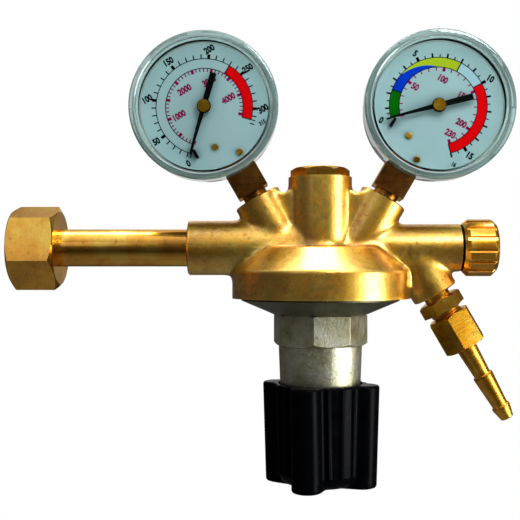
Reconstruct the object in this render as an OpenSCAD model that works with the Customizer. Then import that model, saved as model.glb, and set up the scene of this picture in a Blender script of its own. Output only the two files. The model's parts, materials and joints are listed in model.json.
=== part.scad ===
// Single-stage cylinder pressure regulator with two gauges, an outlet valve
// and a hose barb.
// Millimetres, +Z up, +X from the inlet to the outlet, gauges facing -Y.
// The origin is the centre of the inlet nut's mouth, where the cylinder's
// valve enters.

/* [Inlet] */
// Mouth of the inlet nut to the body's upright axis
inlet_reach = 131.8; // [115:0.1:160]
// Inlet nut across its flats
inlet_nut_af = 32; // [30.5:0.5:38]
// Length of the inlet nut
inlet_nut_len = 20; // [18:0.5:28]
// Turn of the inlet nut on its stem
inlet_nut_turn = 18; // [0:1:60]
// Minor radius of the inlet thread
inlet_thread_r = 12.06; // [11.8:0.01:12.8]
// Length of the inlet thread
inlet_thread_len = 9.5; // [7:0.5:11]
// Radius of the inlet stem
stem_r = 8; // [6:0.1:9]
// Radius of the gas bore in the stem
stem_bore_r = 3; // [2:0.1:4]
// Radius of the stem's threaded tail
stem_tail_r = 7.4; // [5.5:0.1:7.8]
// Length of the stem's threaded tail
stem_tail_len = 13; // [8:0.5:16]
// Length of the collar that the nut pulls on
collar_len = 3; // [2:0.5:4]
// Length of the sintered filter
filter_len = 9; // [6:0.5:14]

/* [Body] */
// Reach of the left arm from the body's axis
left_arm_reach = 56.4; // [48:0.1:66]
// Radius of the left arm
left_arm_r = 11.7; // [10.5:0.1:13]
// Reach of the right arm from the body's axis
right_arm_reach = 59.6; // [56:0.1:70]
// Radius of the right arm
right_arm_r = 10.15; // [9:0.05:12]
// Outer radius of the flange
flange_r = 37.8; // [37:0.1:44]
// Height of the flange's lower edge
flange_z = -21.6; // [-26:0.1:-20]
// Height of the upright band round the flange
flange_band = 11.7; // [6:0.1:13]
// Radius of the ledge on top of the flange
ledge_r = 25.9; // [22:0.1:30]
// Radius of the central boss
hub_r = 13.6; // [12.8:0.1:16]
// Depth of the central boss between its front and back flats
hub_flats = 25; // [22:0.5:27]
// Height of the top of the central boss
hub_top_z = 30.1; // [27:0.1:38]
// Radius of the gauge bosses
gauge_boss_r = 10.3; // [9:0.1:11.5]
// Radius of the outlet boss
outlet_boss_r = 9.9; // [8.5:0.1:11]
// Rounding of the forged rims
rim_round = 1.6; // [0.6:0.1:2.2]
// Radius of the gas passages
passage_r = 2.2; // [1.5:0.1:2.6]
// Radius of the high-pressure chamber
chamber_r = 6.5; // [5.8:0.1:7]
// Thickness of the webs beside the central boss
web_t = 15; // [10:0.5:18]

/* [Plug and valve] */
// Top plug across its flats
plug_af = 22; // [20:0.5:24]
// Height of the plug's head
plug_head = 4.1; // [3:0.1:7]
// Radius of the plug's thread
plug_thread_r = 8.6; // [8:0.1:9]
// Length of the plug's thread
plug_thread_len = 11; // [8:0.5:13]
// Travel of the regulating valve
valve_lift = 0.8; // [0.4:0.1:1]
// Radius of the push pin
pin_r = 1.2; // [0.8:0.1:1.5]
// Radius of the poppet
poppet_r = 4.4; // [3.8:0.1:5]
// Height of the poppet's head
poppet_head = 4.5; // [3:0.1:6]
// Wire of the poppet spring
poppet_wire = 0.9; // [0.6:0.1:1.1]

/* [Diaphragm] */
// Radius of the diaphragm
diaphragm_r = 33; // [31:0.1:33.4]
// Thickness of the diaphragm
diaphragm_t = 1.2; // [0.8:0.1:1.6]
// Radius of the chamber over the diaphragm
dish_r = 27; // [24:0.5:28]
// Depth of the chamber over the diaphragm
dish_depth = 3; // [2.5:0.1:3.4]
// Thickness of the slip ring
slip_t = 0.7; // [0.5:0.1:1]
// Radius of the plate under the diaphragm
plate_r = 17; // [14:0.5:20]
// Thickness of the plate under the diaphragm
plate_t = 2.5; // [2:0.1:3.5]

/* [Bonnet] */
// Radius of the bonnet's cone under the flange
cone_r = 33.8; // [33.3:0.1:36]
// Height of the bonnet's cone
cone_len = 6.6; // [5:0.1:9]
// Bonnet's octagon across its flats
octagon_af = 37.3; // [36.5:0.1:42]
// Length of the octagon
octagon_len = 12.8; // [8:0.1:16]
// Turn of the octagon from the front
octagon_turn = -9.8; // [-22:0.1:22]
// Radius of the collar under the octagon
collar_top_r = 17.8; // [17.5:0.1:18.2]
// Radius of the collar at its lower end
collar_end_r = 17.0; // [16.6:0.1:17.3]
// Length of the collar
bonnet_collar_len = 22.4; // [20:0.1:27]
// Bore of the bonnet round the main spring
spring_bore_r = 14.6; // [13.8:0.1:15.2]
// Radius of the adjusting screw
screw_r = 5.95; // [5:0.05:6.5]
// Pitch of the adjusting screw
screw_pitch = 2; // [1:0.25:3]
// Full turns of the adjusting knob
screw_turns = 4.5; // [3:0.5:4.5]

/* [Main spring] */
// Wire of the main spring
spring_wire = 3.6; // [2.6:0.1:4]
// Mean radius of the main spring
spring_r = 11; // [10.5:0.1:12]
// Turns of the main spring
spring_turns = 6; // [4:0.5:6]

/* [Adjusting knob] */
// Length of the knob
knob_len = 43; // [38:0.5:52]
// Knob's top edge to the octagon, screwed out
knob_gap = 16.2; // [14:0.1:19]
// Radius at the knob's lobes
knob_r = 25.8; // [24.5:0.1:30]
// Radius of a lobe's rounded tip
lobe_r = 6.4; // [5.5:0.1:7.5]
// Radius at the knob's valleys
valley_r = 19.7; // [19.5:0.1:21]
// Scale of the knob's lower end against its top
knob_draft = 0.93; // [0.88:0.01:1]
// Radius of a grip rib
rib_r = 0.9; // [0.5:0.1:1.3]
// Turn of the first lobe from the front
lobe_turn = -20; // [-45:1:45]
// Height over which the valleys curve in at the knob's foot
foot_h = 5.8; // [3:0.1:8]

/* [Outlet] */
// Outlet's crossing with the valve axis, from the body's axis
outlet_cross = 37.8; // [36:0.1:42]
// Lean of the outlet from upright
outlet_tilt = 30; // [20:1:40]
// Crossing to the end of the outlet boss
outlet_boss_end = 22.5; // [20:0.1:26]
// Adapter's hexagon across its flats
adapter_af = 16.5; // [15:0.5:19]
// Thickness of the adapter's hexagon
adapter_hex = 4.6; // [3:0.1:8]
// Neck between the boss and the adapter's hexagon
adapter_neck = 2.5; // [1:0.1:4]
// Radius of the outlet thread
outlet_thread_r = 6.55; // [6.3:0.01:6.8]
// Bare thread between the hexagon and the union nut
thread_show = 3.4; // [2:0.1:6]
// Union nut across its flats
union_af = 17; // [16.5:0.5:20]
// Length of the union nut
union_len = 15.5; // [13:0.1:20]
// Radius of the hose barb's shank
barb_r = 4.35; // [3.8:0.05:4.6]
// Length of the barb past the union nut
barb_len = 35; // [26:0.5:45]
// Radius of the barb's gas bore
barb_bore_r = 2; // [1.5:0.1:2.2]

/* [Outlet valve] */
// Outer radius of the valve knob
valve_knob_r = 12.1; // [11.2:0.1:15]
// Length of the valve knob
valve_knob_len = 14.2; // [12:0.1:18]
// Ridges round the valve knob
knob_ridges = 15; // [9:1:24]
// Width of the dark ring behind the valve knob
knob_ring_t = 2.5; // [1.5:0.1:3.5]
// Opening travel of the outlet valve
outlet_lift = 2.5; // [1.5:0.1:3]
// Radius of the valve spindle's thread
spindle_r = 4.95; // [4.6:0.05:5.2]

/* [Gauges] */
// Lean of each gauge from upright
gauge_tilt = 30; // [25:1:35]
// Gauge boss's top from the body's axis
gauge_boss_x = 27.2; // [25:0.1:32]
// Height of the gauge boss's top
gauge_boss_z = 21.3; // [20:0.1:26]
// Boss's top to the middle of the gauge
gauge_rise = 43.7; // [42:0.1:52]
// Gauge shank across its flats
shank_af = 14; // [12:0.5:14.5]
// Bare neck between the boss and the shank
shank_neck = 2.7; // [1:0.1:4]
// Radius of the gauge thread
gauge_thread_r = 6.5; // [6:0.1:6.8]
// Length of the gauge thread
gauge_thread_len = 10; // [7:0.5:12]
// Wall of the window's skirt round the case
window_wall = 1.2; // [0.8:0.1:2]
// Depth of the window's skirt
window_depth = 11; // [9:0.1:13]
// Thickness of the window's face
window_t = 1.8; // [1.2:0.1:2.4]
// Notches round the window's skirt
window_notches = 8; // [4:1:12]
// Outer radius of the case
case_r = 30; // [27:0.1:34]
// Wall of the case
case_wall = 0.8; // [0.5:0.1:1.2]
// Stem axis to the back of the case
case_back = 10.5; // [9.5:0.1:13]
// Dial's edge to the outside of the case
dial_margin = 2.4; // [1.9:0.1:3]
// Thickness of the dial
dial_t = 0.6; // [0.4:0.1:0.8]
// Dial's zero, clockwise from its top
dial_zero = 226; // [215:1:235]
// Sweep of the pointer from zero to full scale
dial_sweep = 270; // [240:1:270]
// Length of the pointer from its axis
pointer_len = 21.5; // [18:0.1:24]
// Length of the pointer's tail
pointer_tail = 14.5; // [8:0.1:16]

/* [Gauge movement] */
// Mean radius of the curved pressure tube
tube_r = 20.5; // [20:0.1:22]
// Depth of the tube's flat section
tube_depth = 6; // [4:0.1:6.4]
// Width of the tube's flat section
tube_width = 2.2; // [1.6:0.1:2.6]
// Gear module of the movement
gear_m = 0.22; // [0.2:0.01:0.24]
// Teeth of the pointer's pinion
pinion_teeth = 12; // [12:1:14]
// Turns of the pinion for one turn of the sector
gear_ratio = 10; // [9:1:11]
// Radius of the movement's arbors
arbor_r = 0.8; // [0.6:0.05:0.9]

/* [Fits] */
// Radial clearance of turning and sliding fits
running = 0.06; // [0.02:0.01:0.1]
// Radial clearance of threads and seats that stay put
seating = 0.05; // [0.02:0.01:0.1]
// Clearance between loose faces
gap = 0.3; // [0.2:0.05:0.4]

/* [Hidden] */
$fn = 64;

brass = [0.80, 0.62, 0.22];
dark_brass = [0.55, 0.36, 0.12];
nickel = [0.66, 0.66, 0.60];
steel = [0.62, 0.63, 0.65];
black = [0.06, 0.06, 0.07];
sides = [-1, 1];

// Inlet, along X from the nut's mouth
washer_r = 8.5;
washer_t = 1.6;
washer_proud = 0.4;
collar_x = inlet_thread_len + 0.6 + washer_proud;
collar_back_x = collar_x + collar_len;
stem_collar_r = inlet_thread_r - 0.8;
nut_seat_x = collar_back_x + gap;
nut_relief_r = inlet_thread_r + 0.9;
filter_r = stem_bore_r + 1;

// Upright stack, from the body's axis and the arms' axis
roof_z = flange_z + 8.1 + dish_depth;
clamp_z = roof_z - dish_depth;
plate_top_z = clamp_z - diaphragm_t;
plate_face_z = plate_top_z - plate_t;
bonnet_top_z = plate_top_z - slip_t;
bonnet_thread_r = diaphragm_r + 0.2;
cone_z = flange_z - 0.5;
octagon_z = cone_z - cone_len;
octagon_end_z = octagon_z - octagon_len;
collar_end_z = octagon_end_z - bonnet_collar_len;
screw_wall = 8;
wall_top_z = collar_end_z + screw_wall;
screw_travel = screw_pitch * screw_turns;
button_t = 3;
button_r = spring_bore_r - 0.8;
button_z = wall_top_z + gap;
button_face_z = button_z + button_t;
spring_len = plate_face_z - button_face_z;
knob_top_z = octagon_end_z - knob_gap;
knob_end_z = knob_top_z - knob_len;
knob_floor_z = collar_end_z - screw_travel - 0.6;
recess_r = collar_top_r + gap;
screw_tail = 18;
screw_end_z = knob_floor_z - screw_tail;
seat_z = 0;
seat_h = 4;
chamber_z = seat_z - 1 - seat_h;
plug_end_z = hub_top_z - plug_thread_len;
poppet_seal_t = 1.5;
poppet_top_z = seat_z + poppet_seal_t + poppet_head;
poppet_tail_r = 2.4;
poppet_guide = 5;
seal_h = 1.3;
poppet_spring_r = poppet_r - poppet_wire / 2 - 0.3;
pin_disc_t = 1.2;
rivet_r = 2.4;
nose_r = 3;
nose_len = 1.5;
screw_hex_h = 8;
foot_core_r = 11;
root_fillet = 2.5;
knob_edge = 1.2;
// Points round the valley, each a share of its half width and of a rib's height
rib_steps = [[0.96, 0], [0.91, 0.8], [0.84, 1], [0.77, 0.8], [0.72, 0], [0.52, 0], [0.32, 0],
    [0.12, 0], [0.07, 0.8], [0, 1]];

// Outlet valve, along X from the body's axis
valve_seat_x = outlet_cross - 6.8;
disc_r = spindle_r - 0.45;
disc_washer_t = 1.2;
disc_len = 3.6;
spindle_x = valve_seat_x + disc_washer_t + disc_len - 1.6;
spindle_thread_x = valve_seat_x + 11;
spindle_thread_len = 8;
gland_x = spindle_thread_x + spindle_thread_len;
gland_r = spindle_r + 1.5;
ring_x = right_arm_reach + 0.1;
valve_knob_x = ring_x + 0.5;
ring_r = right_arm_r - 0.25;
spindle_end_x = valve_knob_x + valve_knob_len - 2.4;
spindle_neck_r = 3;
spindle_nose_r = 1.5;
spindle_land_r = 4.2;
knob_screw_r = 1.5;

// Outlet, from the crossing along its own axis
adapter_tail = 10;
hex_z = outlet_boss_end + adapter_neck;
union_z = hex_z + adapter_hex + thread_show;
union_end_z = union_z + union_len;
adapter_end_z = union_z + 6.6;
barb_collar_z = adapter_end_z + 0.1;
barb_collar_len = 3.4;
union_seat_z = barb_collar_z + barb_collar_len + gap;
barb_end_z = union_end_z + barb_len;
adapter_tail_r = 5;
cone_seat_len = 3;
cone_seat_r = 4;

// Gauge radii and layers, the layers counted forward from the stem axis
window_r = case_r + window_wall;
dial_r = case_r - dial_margin;
socket_edge = case_r - case_wall - 1.4;
window_back_y = 4.8;
window_front_y = window_back_y + window_depth;
case_front_y = 9;
dial_y = 7.7;
plate_y = 5.8;
plate_gauge_t = 0.8;
sector_y = 3.6;
sector_t = 0.8;
link_y = 2.4;
link_t = 0.6;
back_plate_y = 0;
pointer_y = 10.6;
pointer_t = 0.5;
tube_y = -2;
socket_top = -14;
lug_top = -9;
socket_front_z = -socket_edge;
dial_screw_r = 0.8;
vent_r = 5;
vent_z = 12;

// Gauge movement, seen from the front
pinion_r = gear_m * pinion_teeth / 2;
sector_teeth = pinion_teeth * gear_ratio;
sector_r = gear_m * sector_teeth / 2;
sector_dir = -40;
sector_reach = pinion_r + sector_r;
sector_x = sector_reach * cos(sector_dir);
sector_z = sector_reach * sin(sector_dir);
tooth_step = 360 / sector_teeth;
tail_dir = -75;
tail_len = 5;
tail_x = sector_x + tail_len * cos(tail_dir);
tail_z = sector_z + tail_len * sin(tail_dir);
tube_tip_dir = -25;
tube_sweep = 282;
tip_x = tube_r * cos(tube_tip_dir);
tip_z = tube_r * sin(tube_tip_dir);
pillar = [[-5.5, 5], [14.2, -5]];
screw_spots = [[-4.5, -17], [3.4, 3.6 - dial_r]];
stop_spot = [-13.03, -15.58];
link_pin_r = 0.5;
tooth_play = 0.14;

function polar(r, a) = [r * cos(a), r * sin(a)];
function arc(c, r, a0, a1, n) = [for (i = [0 : n]) c + polar(r, a0 + (a1 - a0) * i / n)];
function hex_corner(af) = af / sqrt(3);
function involute(a) = tan(a) * 180 / PI - a;
function port_len(side) = (gauge_boss_z - (side < 0 ? 0 : clamp_z)) / cos(gauge_tilt);

// One gear tooth's outline: half angle of the tooth at each radius, with backlash
function half_tooth(r, m, n, play) =
    let (rb = m * n / 2 * cos(20), a = r > rb ? acos(rb / r) : 0)
    90 / n * (1 - play) + involute(20) - involute(a);
function tooth_radii(m, n, add, ded) = [for (k = [0 : 4]) m * n / 2 - ded * m + (add + ded) * m * k / 4];
function tooth(m, n, mid, play, add, ded) =
    let (rs = tooth_radii(m, n, add, ded))
    concat([for (k = [0 : 4]) polar(rs[k], mid - half_tooth(rs[k], m, n, play))],
           [for (k = [4 : -1 : 0]) polar(rs[k], mid + half_tooth(rs[k], m, n, play))]);

// Points on a coil's centre line: end turns close, the middle turns open evenly
function coil_rise(u, turns, wire, h) =
    let (close = wire + 0.5, open = (h - 2 * close) / (turns - 2))
    u < 1 ? u * close : u > turns - 1 ? h - (turns - u) * close : close + (u - 1) * open;

module at_body() translate([inlet_reach, 0, 0]) children();
module along_x(x = 0) translate([x, 0, 0]) rotate([0, 90, 0]) children();
module on_outlet(z = 0)
    translate([outlet_cross, 0, 0]) rotate([0, 180 - outlet_tilt, 0]) translate([0, 0, z]) children();
module on_boss(side)
    translate([side * gauge_boss_x, 0, gauge_boss_z]) rotate([0, side * gauge_tilt, 0]) children();
module on_gauge(side) at_body() on_boss(side) translate([0, 0, gauge_rise]) children();

// A round bar along Y between two depths in front of the stem axis
module round_y(back, front, r, spot = [0, 0])
    translate([spot[0], -back, spot[1]]) rotate([90, 0, 0]) cylinder(h = front - back, r = r);
// A flat piece drawn in the dial's plane
module flat_y(back, t) translate([0, -back, 0]) rotate([90, 0, 0]) linear_extrude(t) children();

module tube(h, r, bore) difference() {
    cylinder(h = h, r = r);
    translate([0, 0, -1]) cylinder(h = h + 2, r = bore);
}

// Hexagon bar whose corners are turned off at 30 degrees
module hex_bar(af, h, low = true, high = true) {
    rc = hex_corner(af);
    rf = af / 2 * 0.97;
    cut = (rc - rf) * tan(30);
    intersection() {
        cylinder(h = h, r = rc, $fn = 6);
        rotate_extrude() polygon([
            [0, 0], [low ? rf : rc + 1, 0], [rc + 0.01, low ? cut : 0],
            [rc + 0.01, high ? h - cut : h], [high ? rf : rc + 1, h], [0, h]
        ]);
    }
}

// One unbroken round wire wound as a compression spring
module coil(r, wire, turns, h) {
    steps = 16;
    ring = 6;
    n = turns * steps;
    pts = [for (i = [0 : n]) let (u = i / steps, a = 360 * u, z = coil_rise(u, turns, wire, h))
        for (j = [0 : ring - 1]) let (b = 360 * j / ring)
            [(r + wire / 2 * cos(b)) * cos(a), (r + wire / 2 * cos(b)) * sin(a), z + wire / 2 * sin(b)]];
    sides_of = [for (i = [0 : n - 1], j = [0 : ring - 1])
        let (a = i * ring + j, b = i * ring + (j + 1) % ring)
        for (f = [[a, b + ring, b], [a, a + ring, b + ring]]) f];
    low_cap = [for (j = [1 : ring - 2]) [0, j, j + 1]];
    top_cap = [for (j = [1 : ring - 2]) [n * ring, n * ring + j + 1, n * ring + j]];
    polyhedron(points = pts, faces = concat(sides_of, low_cap, top_cap));
}

module inlet_nut() color(brass) along_x() rotate([0, 0, inlet_nut_turn]) difference() {
    hex_bar(inlet_nut_af, inlet_nut_len);
    translate([0, 0, -1]) cylinder(h = inlet_nut_len + 2, r = stem_r + running);
    translate([0, 0, -1]) cylinder(h = nut_seat_x + 1, r = inlet_thread_r);
    translate([0, 0, inlet_thread_len])
        cylinder(h = nut_seat_x - inlet_thread_len, r = nut_relief_r);
}

module inlet_stem() color(brass) difference() {
    stem_end = inlet_reach - left_arm_reach;
    union() {
        along_x(collar_x) cylinder(h = collar_len, r = stem_collar_r);
        along_x(collar_x) cylinder(h = stem_end - collar_x, r = stem_r);
        along_x(stem_end) cylinder(h = stem_tail_len, r = stem_tail_r);
    }
    along_x(0) cylinder(h = stem_end + stem_tail_len + 1, r = stem_bore_r);
    along_x(collar_x - 1) cylinder(h = 1 + washer_t - washer_proud, r = washer_r + seating);
    along_x(collar_x) cylinder(h = washer_t + filter_len + seating, r = filter_r + seating);
}

module inlet_washer() color([0.85, 0.83, 0.76]) along_x(collar_x - washer_proud)
    tube(washer_t, washer_r, filter_r + 0.6);

module inlet_filter() color([0.60, 0.45, 0.25]) difference() {
    start = collar_x + washer_t - washer_proud;
    along_x(start) cylinder(h = filter_len, r = filter_r);
    along_x(start + 1.6) cylinder(h = filter_len, r = filter_r - 1.4);
}

// Outside of the forging
module forging() {
    band_z = flange_z + flange_band;
    rotate_extrude($fn = 128) polygon(concat(
        [[0, flange_z], [flange_r, flange_z]],
        arc([flange_r - rim_round, band_z - rim_round], rim_round, 0, 50, 4),
        arc([ledge_r - rim_round, -rim_round], rim_round, 45, 90, 3),
        [[0, 0]]));
    intersection() {
        translate([0, 0, flange_z / 2]) cylinder(h = hub_top_z - flange_z / 2, r = hub_r);
        translate([-hub_r, -hub_flats / 2, flange_z])
            cube([2 * hub_r, hub_flats, hub_top_z - flange_z]);
    }
    along_x(-left_arm_reach) arm_blank(left_arm_reach, left_arm_r);
    rotate([0, 0, 180]) along_x(-right_arm_reach) arm_blank(right_arm_reach, right_arm_r);
    for (side = sides) on_boss(side) rotate([180, 0, 0])
        arm_blank(gauge_boss_z / cos(gauge_tilt), gauge_boss_r);
    on_outlet(outlet_boss_end) rotate([180, 0, 0]) arm_blank(outlet_boss_end, outlet_boss_r);
    for (side = sides) boss_web(side);
    outlet_web();
}

// A forged bar along +Z whose start is rounded
module arm_blank(h, r) rotate_extrude() polygon(concat(
    [[0, 0]], arc([r - rim_round, rim_round], rim_round, -90, 0, 4), [[r, h], [0, h]]));

// Web in the notch between the central boss and a gauge boss
module boss_web(side) {
    web_top = gauge_boss_z + 1.9;
    web_x = hub_r + 1.4;
    translate([0, web_t / 2, 0]) rotate([90, 0, 0]) linear_extrude(web_t) polygon([
        [0, 0], [0, web_top + 1.2], [side * (hub_r - 0.4), web_top + 1.2], [side * web_x, web_top],
        [side * (gauge_boss_x - 7.6), gauge_boss_z + 2.6], [side * gauge_boss_x, 4],
        [side * gauge_boss_x, 0]
    ]);
}

// Web that ties the outlet boss to the flange's edge
module outlet_web() {
    foot = [outlet_cross + (outlet_boss_end - 3) * sin(outlet_tilt),
            -(outlet_boss_end - 3) * cos(outlet_tilt)];
    translate([0, web_t / 2, 0]) rotate([90, 0, 0]) linear_extrude(web_t) polygon([
        [flange_r - 8, 0], [flange_r - 8, flange_z + 3], foot - [outlet_boss_r - 2.5, 0], foot,
        [outlet_cross, 0]
    ]);
}

module body() color(brass) at_body() difference() {
    forging();
    // inlet side
    along_x(-left_arm_reach - 1) cylinder(h = stem_tail_len + 1.5, r = stem_tail_r + seating);
    along_x(-left_arm_reach) cylinder(h = left_arm_reach, r = passage_r + 0.3);
    // upright stack
    translate([0, 0, chamber_z]) cylinder(h = hub_top_z - chamber_z + 1, r = chamber_r);
    translate([0, 0, plug_end_z]) cylinder(h = plug_thread_len + 1, r = plug_thread_r + seating);
    translate([0, 0, hub_top_z - seal_h]) cylinder(h = 2, r = plug_thread_r + 1 + seating);
    translate([0, 0, roof_z - 1]) cylinder(h = chamber_z - roof_z + 2, r = 3.2);
    // diaphragm side
    translate([0, 0, clamp_z - 0.5]) cylinder(h = dish_depth + 0.5, r = dish_r, $fn = 128);
    translate([0, 0, flange_z - 1]) cylinder(h = clamp_z - flange_z + 1, r = bonnet_thread_r, $fn = 128);
    // gauge ports
    for (side = sides) on_boss(side) {
        translate([0, 0, -gauge_thread_len - 1.5])
            cylinder(h = gauge_thread_len + 3, r = gauge_thread_r + seating);
        translate([0, 0, -port_len(side)]) cylinder(h = port_len(side), r = passage_r);
    }
    // outlet valve
    translate([valve_seat_x, 0, 0]) rotate([0, -90, 0]) cylinder(h = 7, r = passage_r);
    translate([valve_seat_x - 6, 0, 0]) rotate([0, 205, 0]) cylinder(h = 18, r = passage_r);
    along_x(valve_seat_x) cylinder(h = 0.8 + 10.2, r = spindle_r + 1);
    along_x(valve_seat_x) cylinder(h = 40, r = spindle_r + running);
    along_x(gland_x) cylinder(h = 40, r = gland_r + running);
    // outlet port
    on_outlet(0) cylinder(h = 40, r = passage_r);
    on_outlet(outlet_boss_end - adapter_tail - 0.5) cylinder(h = 40, r = adapter_tail_r + seating);
}

// Turned plug that closes the high-pressure chamber and guides the poppet
module top_plug() color(brass) at_body() difference() {
    union() {
        translate([0, 0, hub_top_z]) hex_bar(plug_af, plug_head, low = false);
        translate([0, 0, plug_end_z]) cylinder(h = plug_thread_len, r = plug_thread_r);
    }
    translate([0, 0, plug_end_z - 1])
        cylinder(h = 1 + poppet_guide + 2, r = poppet_tail_r + running);
}

module plug_seal() color(black) at_body() translate([0, 0, hub_top_z - seal_h])
    tube(seal_h - 0.05, plug_thread_r + 1, plug_thread_r + seating);

module valve_seat() color(brass) at_body() difference() {
    union() {
        translate([0, 0, chamber_z]) cylinder(h = seat_h, r = chamber_r - seating);
        translate([0, 0, chamber_z]) cylinder(h = seat_z - chamber_z, r = pin_r + 2);
    }
    translate([0, 0, chamber_z - 1]) cylinder(h = 20, r = pin_r + 0.8);
}

module poppet() color(brass) at_body() {
    translate([0, 0, seat_z + poppet_seal_t]) cylinder(h = poppet_head, r = poppet_r);
    translate([0, 0, poppet_top_z])
        cylinder(h = plug_end_z + poppet_guide - poppet_top_z, r = poppet_tail_r);
}

module poppet_seal() color([0.92, 0.92, 0.88]) at_body() translate([0, 0, seat_z])
    tube(poppet_seal_t, poppet_r - 0.4, pin_r + seating);

module poppet_spring() color(steel) at_body()
    translate([0, 0, poppet_top_z + poppet_wire / 2 + 0.1])
        coil(poppet_spring_r, poppet_wire, 7, plug_end_z - poppet_top_z - poppet_wire - 0.2);

module push_pin() color(steel) at_body() translate([0, 0, clamp_z + pin_disc_t])
    cylinder(h = seat_z + poppet_seal_t - clamp_z - pin_disc_t, r = pin_r);

// Disc on the gas side, riveted through the diaphragm to the spring plate
module pin_disc() color(brass) at_body() {
    translate([0, 0, clamp_z]) cylinder(h = pin_disc_t, r = plate_r * 0.65);
    translate([0, 0, plate_face_z + 0.4]) cylinder(h = clamp_z - plate_face_z, r = rivet_r);
}

// Rubber disc with one rolled fold between the plates and the clamped rim
module diaphragm() color(black) at_body() {
    fold_in = plate_r + 1.8;
    fold_out = dish_r - 1.2;
    fold_mid = (fold_in + fold_out) / 2;
    fold_r = (fold_out - fold_in) / 2;
    rotate_extrude($fn = 128) polygon(concat(
        [[rivet_r + seating, clamp_z], [rivet_r + seating, plate_top_z], [fold_in, plate_top_z]],
        [for (i = [1 : 7]) let (p = polar(1, 180 + 180 * i / 8))
            [fold_mid + fold_r * p[0], plate_top_z + 1.6 * p[1]]],
        [[fold_out, plate_top_z], [diaphragm_r, plate_top_z], [diaphragm_r, clamp_z], [fold_out, clamp_z]],
        [for (i = [7 : -1 : 1]) let (p = polar(1, 180 + 180 * i / 8))
            [fold_mid + (fold_r - 0.6) * p[0], clamp_z + 1.6 * p[1]]],
        [[fold_in, clamp_z]]));
}

module diaphragm_plate() color(steel) at_body() difference() {
    union() {
        translate([0, 0, plate_face_z]) cylinder(h = plate_t, r = plate_r);
        translate([0, 0, plate_face_z - 2]) cylinder(h = 3, r = spring_r - spring_wire / 2 - 0.6);
    }
    translate([0, 0, plate_face_z - 3]) cylinder(h = plate_t + 4, r = rivet_r + seating);
}

module slip_ring() color(steel) at_body() translate([0, 0, bonnet_top_z])
    tube(slip_t, diaphragm_r, dish_r + 1.2, $fn = 128);

// Spring bonnet: threaded rim, cone, octagon for the spanner and long collar
module bonnet() color(nickel) at_body() difference() {
    union() {
        rotate_extrude($fn = 128) polygon([
            [0, bonnet_top_z], [bonnet_thread_r - seating, bonnet_top_z],
            [bonnet_thread_r - seating, cone_z], [cone_r, cone_z], [cone_r, cone_z - 0.4],
            [octagon_af / 2 + 0.6, octagon_z], [0, octagon_z]
        ]);
        rotate([0, 0, octagon_turn]) translate([0, 0, octagon_end_z]) octagon_bar();
        rotate_extrude($fn = 96) polygon([
            [0, octagon_end_z + 1], [collar_top_r, octagon_end_z + 1], [collar_top_r, octagon_end_z],
            [collar_end_r, collar_end_z + 0.8], [collar_end_r - 0.8, collar_end_z], [0, collar_end_z]
        ]);
    }
    rotate_extrude($fn = 96) polygon([
        [0, bonnet_top_z + 1], [dish_r + 1.2, bonnet_top_z + 1], [dish_r + 1.2, bonnet_top_z - 3.4],
        [spring_bore_r, octagon_z - 0.6], [spring_bore_r, wall_top_z], [0, wall_top_z]
    ]);
    translate([0, 0, collar_end_z - 1]) cylinder(h = screw_wall + 2, r = screw_r + running);
}

// Octagon whose lower corners are turned off
module octagon_bar() intersection() {
    rc = octagon_af / 2 / cos(22.5);
    cylinder(h = octagon_len, r = rc, $fn = 8);
    rotate_extrude($fn = 96) polygon([
        [0, 0], [octagon_af / 2 - 0.3, 0], [rc + 0.01, 1.2], [rc + 0.01, octagon_len], [0, octagon_len]
    ]);
}

module main_spring() color(steel) at_body()
    translate([0, 0, button_face_z + spring_wire / 2 + 0.1])
        coil(spring_r, spring_wire, spring_turns, spring_len - spring_wire - 0.2);

module spring_button() color(steel) at_body() difference() {
    union() {
        translate([0, 0, button_z]) cylinder(h = button_t, r = button_r);
        translate([0, 0, button_z]) cylinder(h = button_t + 2.5, r = spring_r - spring_wire / 2 - 0.6);
    }
    translate([0, 0, button_z - 1]) cylinder(h = 1 + nose_len, r = nose_r + running);
}

module adjusting_screw() color(steel) at_body() {
    translate([0, 0, button_z - 0.2]) cylinder(h = nose_len + 0.1, r = nose_r);
    translate([0, 0, screw_end_z]) cylinder(h = button_z - 0.2 - screw_end_z, r = screw_r);
    translate([0, 0, screw_end_z]) cylinder(h = screw_hex_h, r = screw_r + 2.2, $fn = 6);
}

// Half of a lobe's outline, from the tip round the root fillet to the middle of the valley
function half_lobe(c, r, v, rib) =
    let (d = v + root_fillet, e = r + root_fillet,
         flank_x = d > e ? sqrt(d * d - e * e) : 0,
         x = flank_x < c ? flank_x : (d * d - e * e + c * c) / (2 * c),
         y = sqrt(d * d - x * x),
         tip_a = flank_x < c ? 90 : atan2(y, x - c), root_a = atan2(y, x))
    concat(arc([c, 0], r, 0, tip_a, 7),
           [for (i = [1 : 4]) [x, y] + polar(root_fillet, 180 + tip_a + (root_a - tip_a) * i / 4)],
           [for (t = rib_steps) polar(v + rib * t[1], 45 - t[0] * (45 - root_a))]);

// The whole outline: four lobes, each half mirrored about its tip
function knob_outline(c, r, v, rib) =
    let (half = half_lobe(c, r, v, rib), n = len(half))
    [for (k = [0 : 3], q = concat([for (i = [n - 1 : -1 : 1]) [half[i][0], -half[i][1]]],
                                  [for (i = [0 : n - 2]) half[i]]))
        let (a = lobe_turn - 90 + 90 * k)
            [q[0] * cos(a) - q[1] * sin(a), q[0] * sin(a) + q[1] * cos(a)]];

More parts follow.
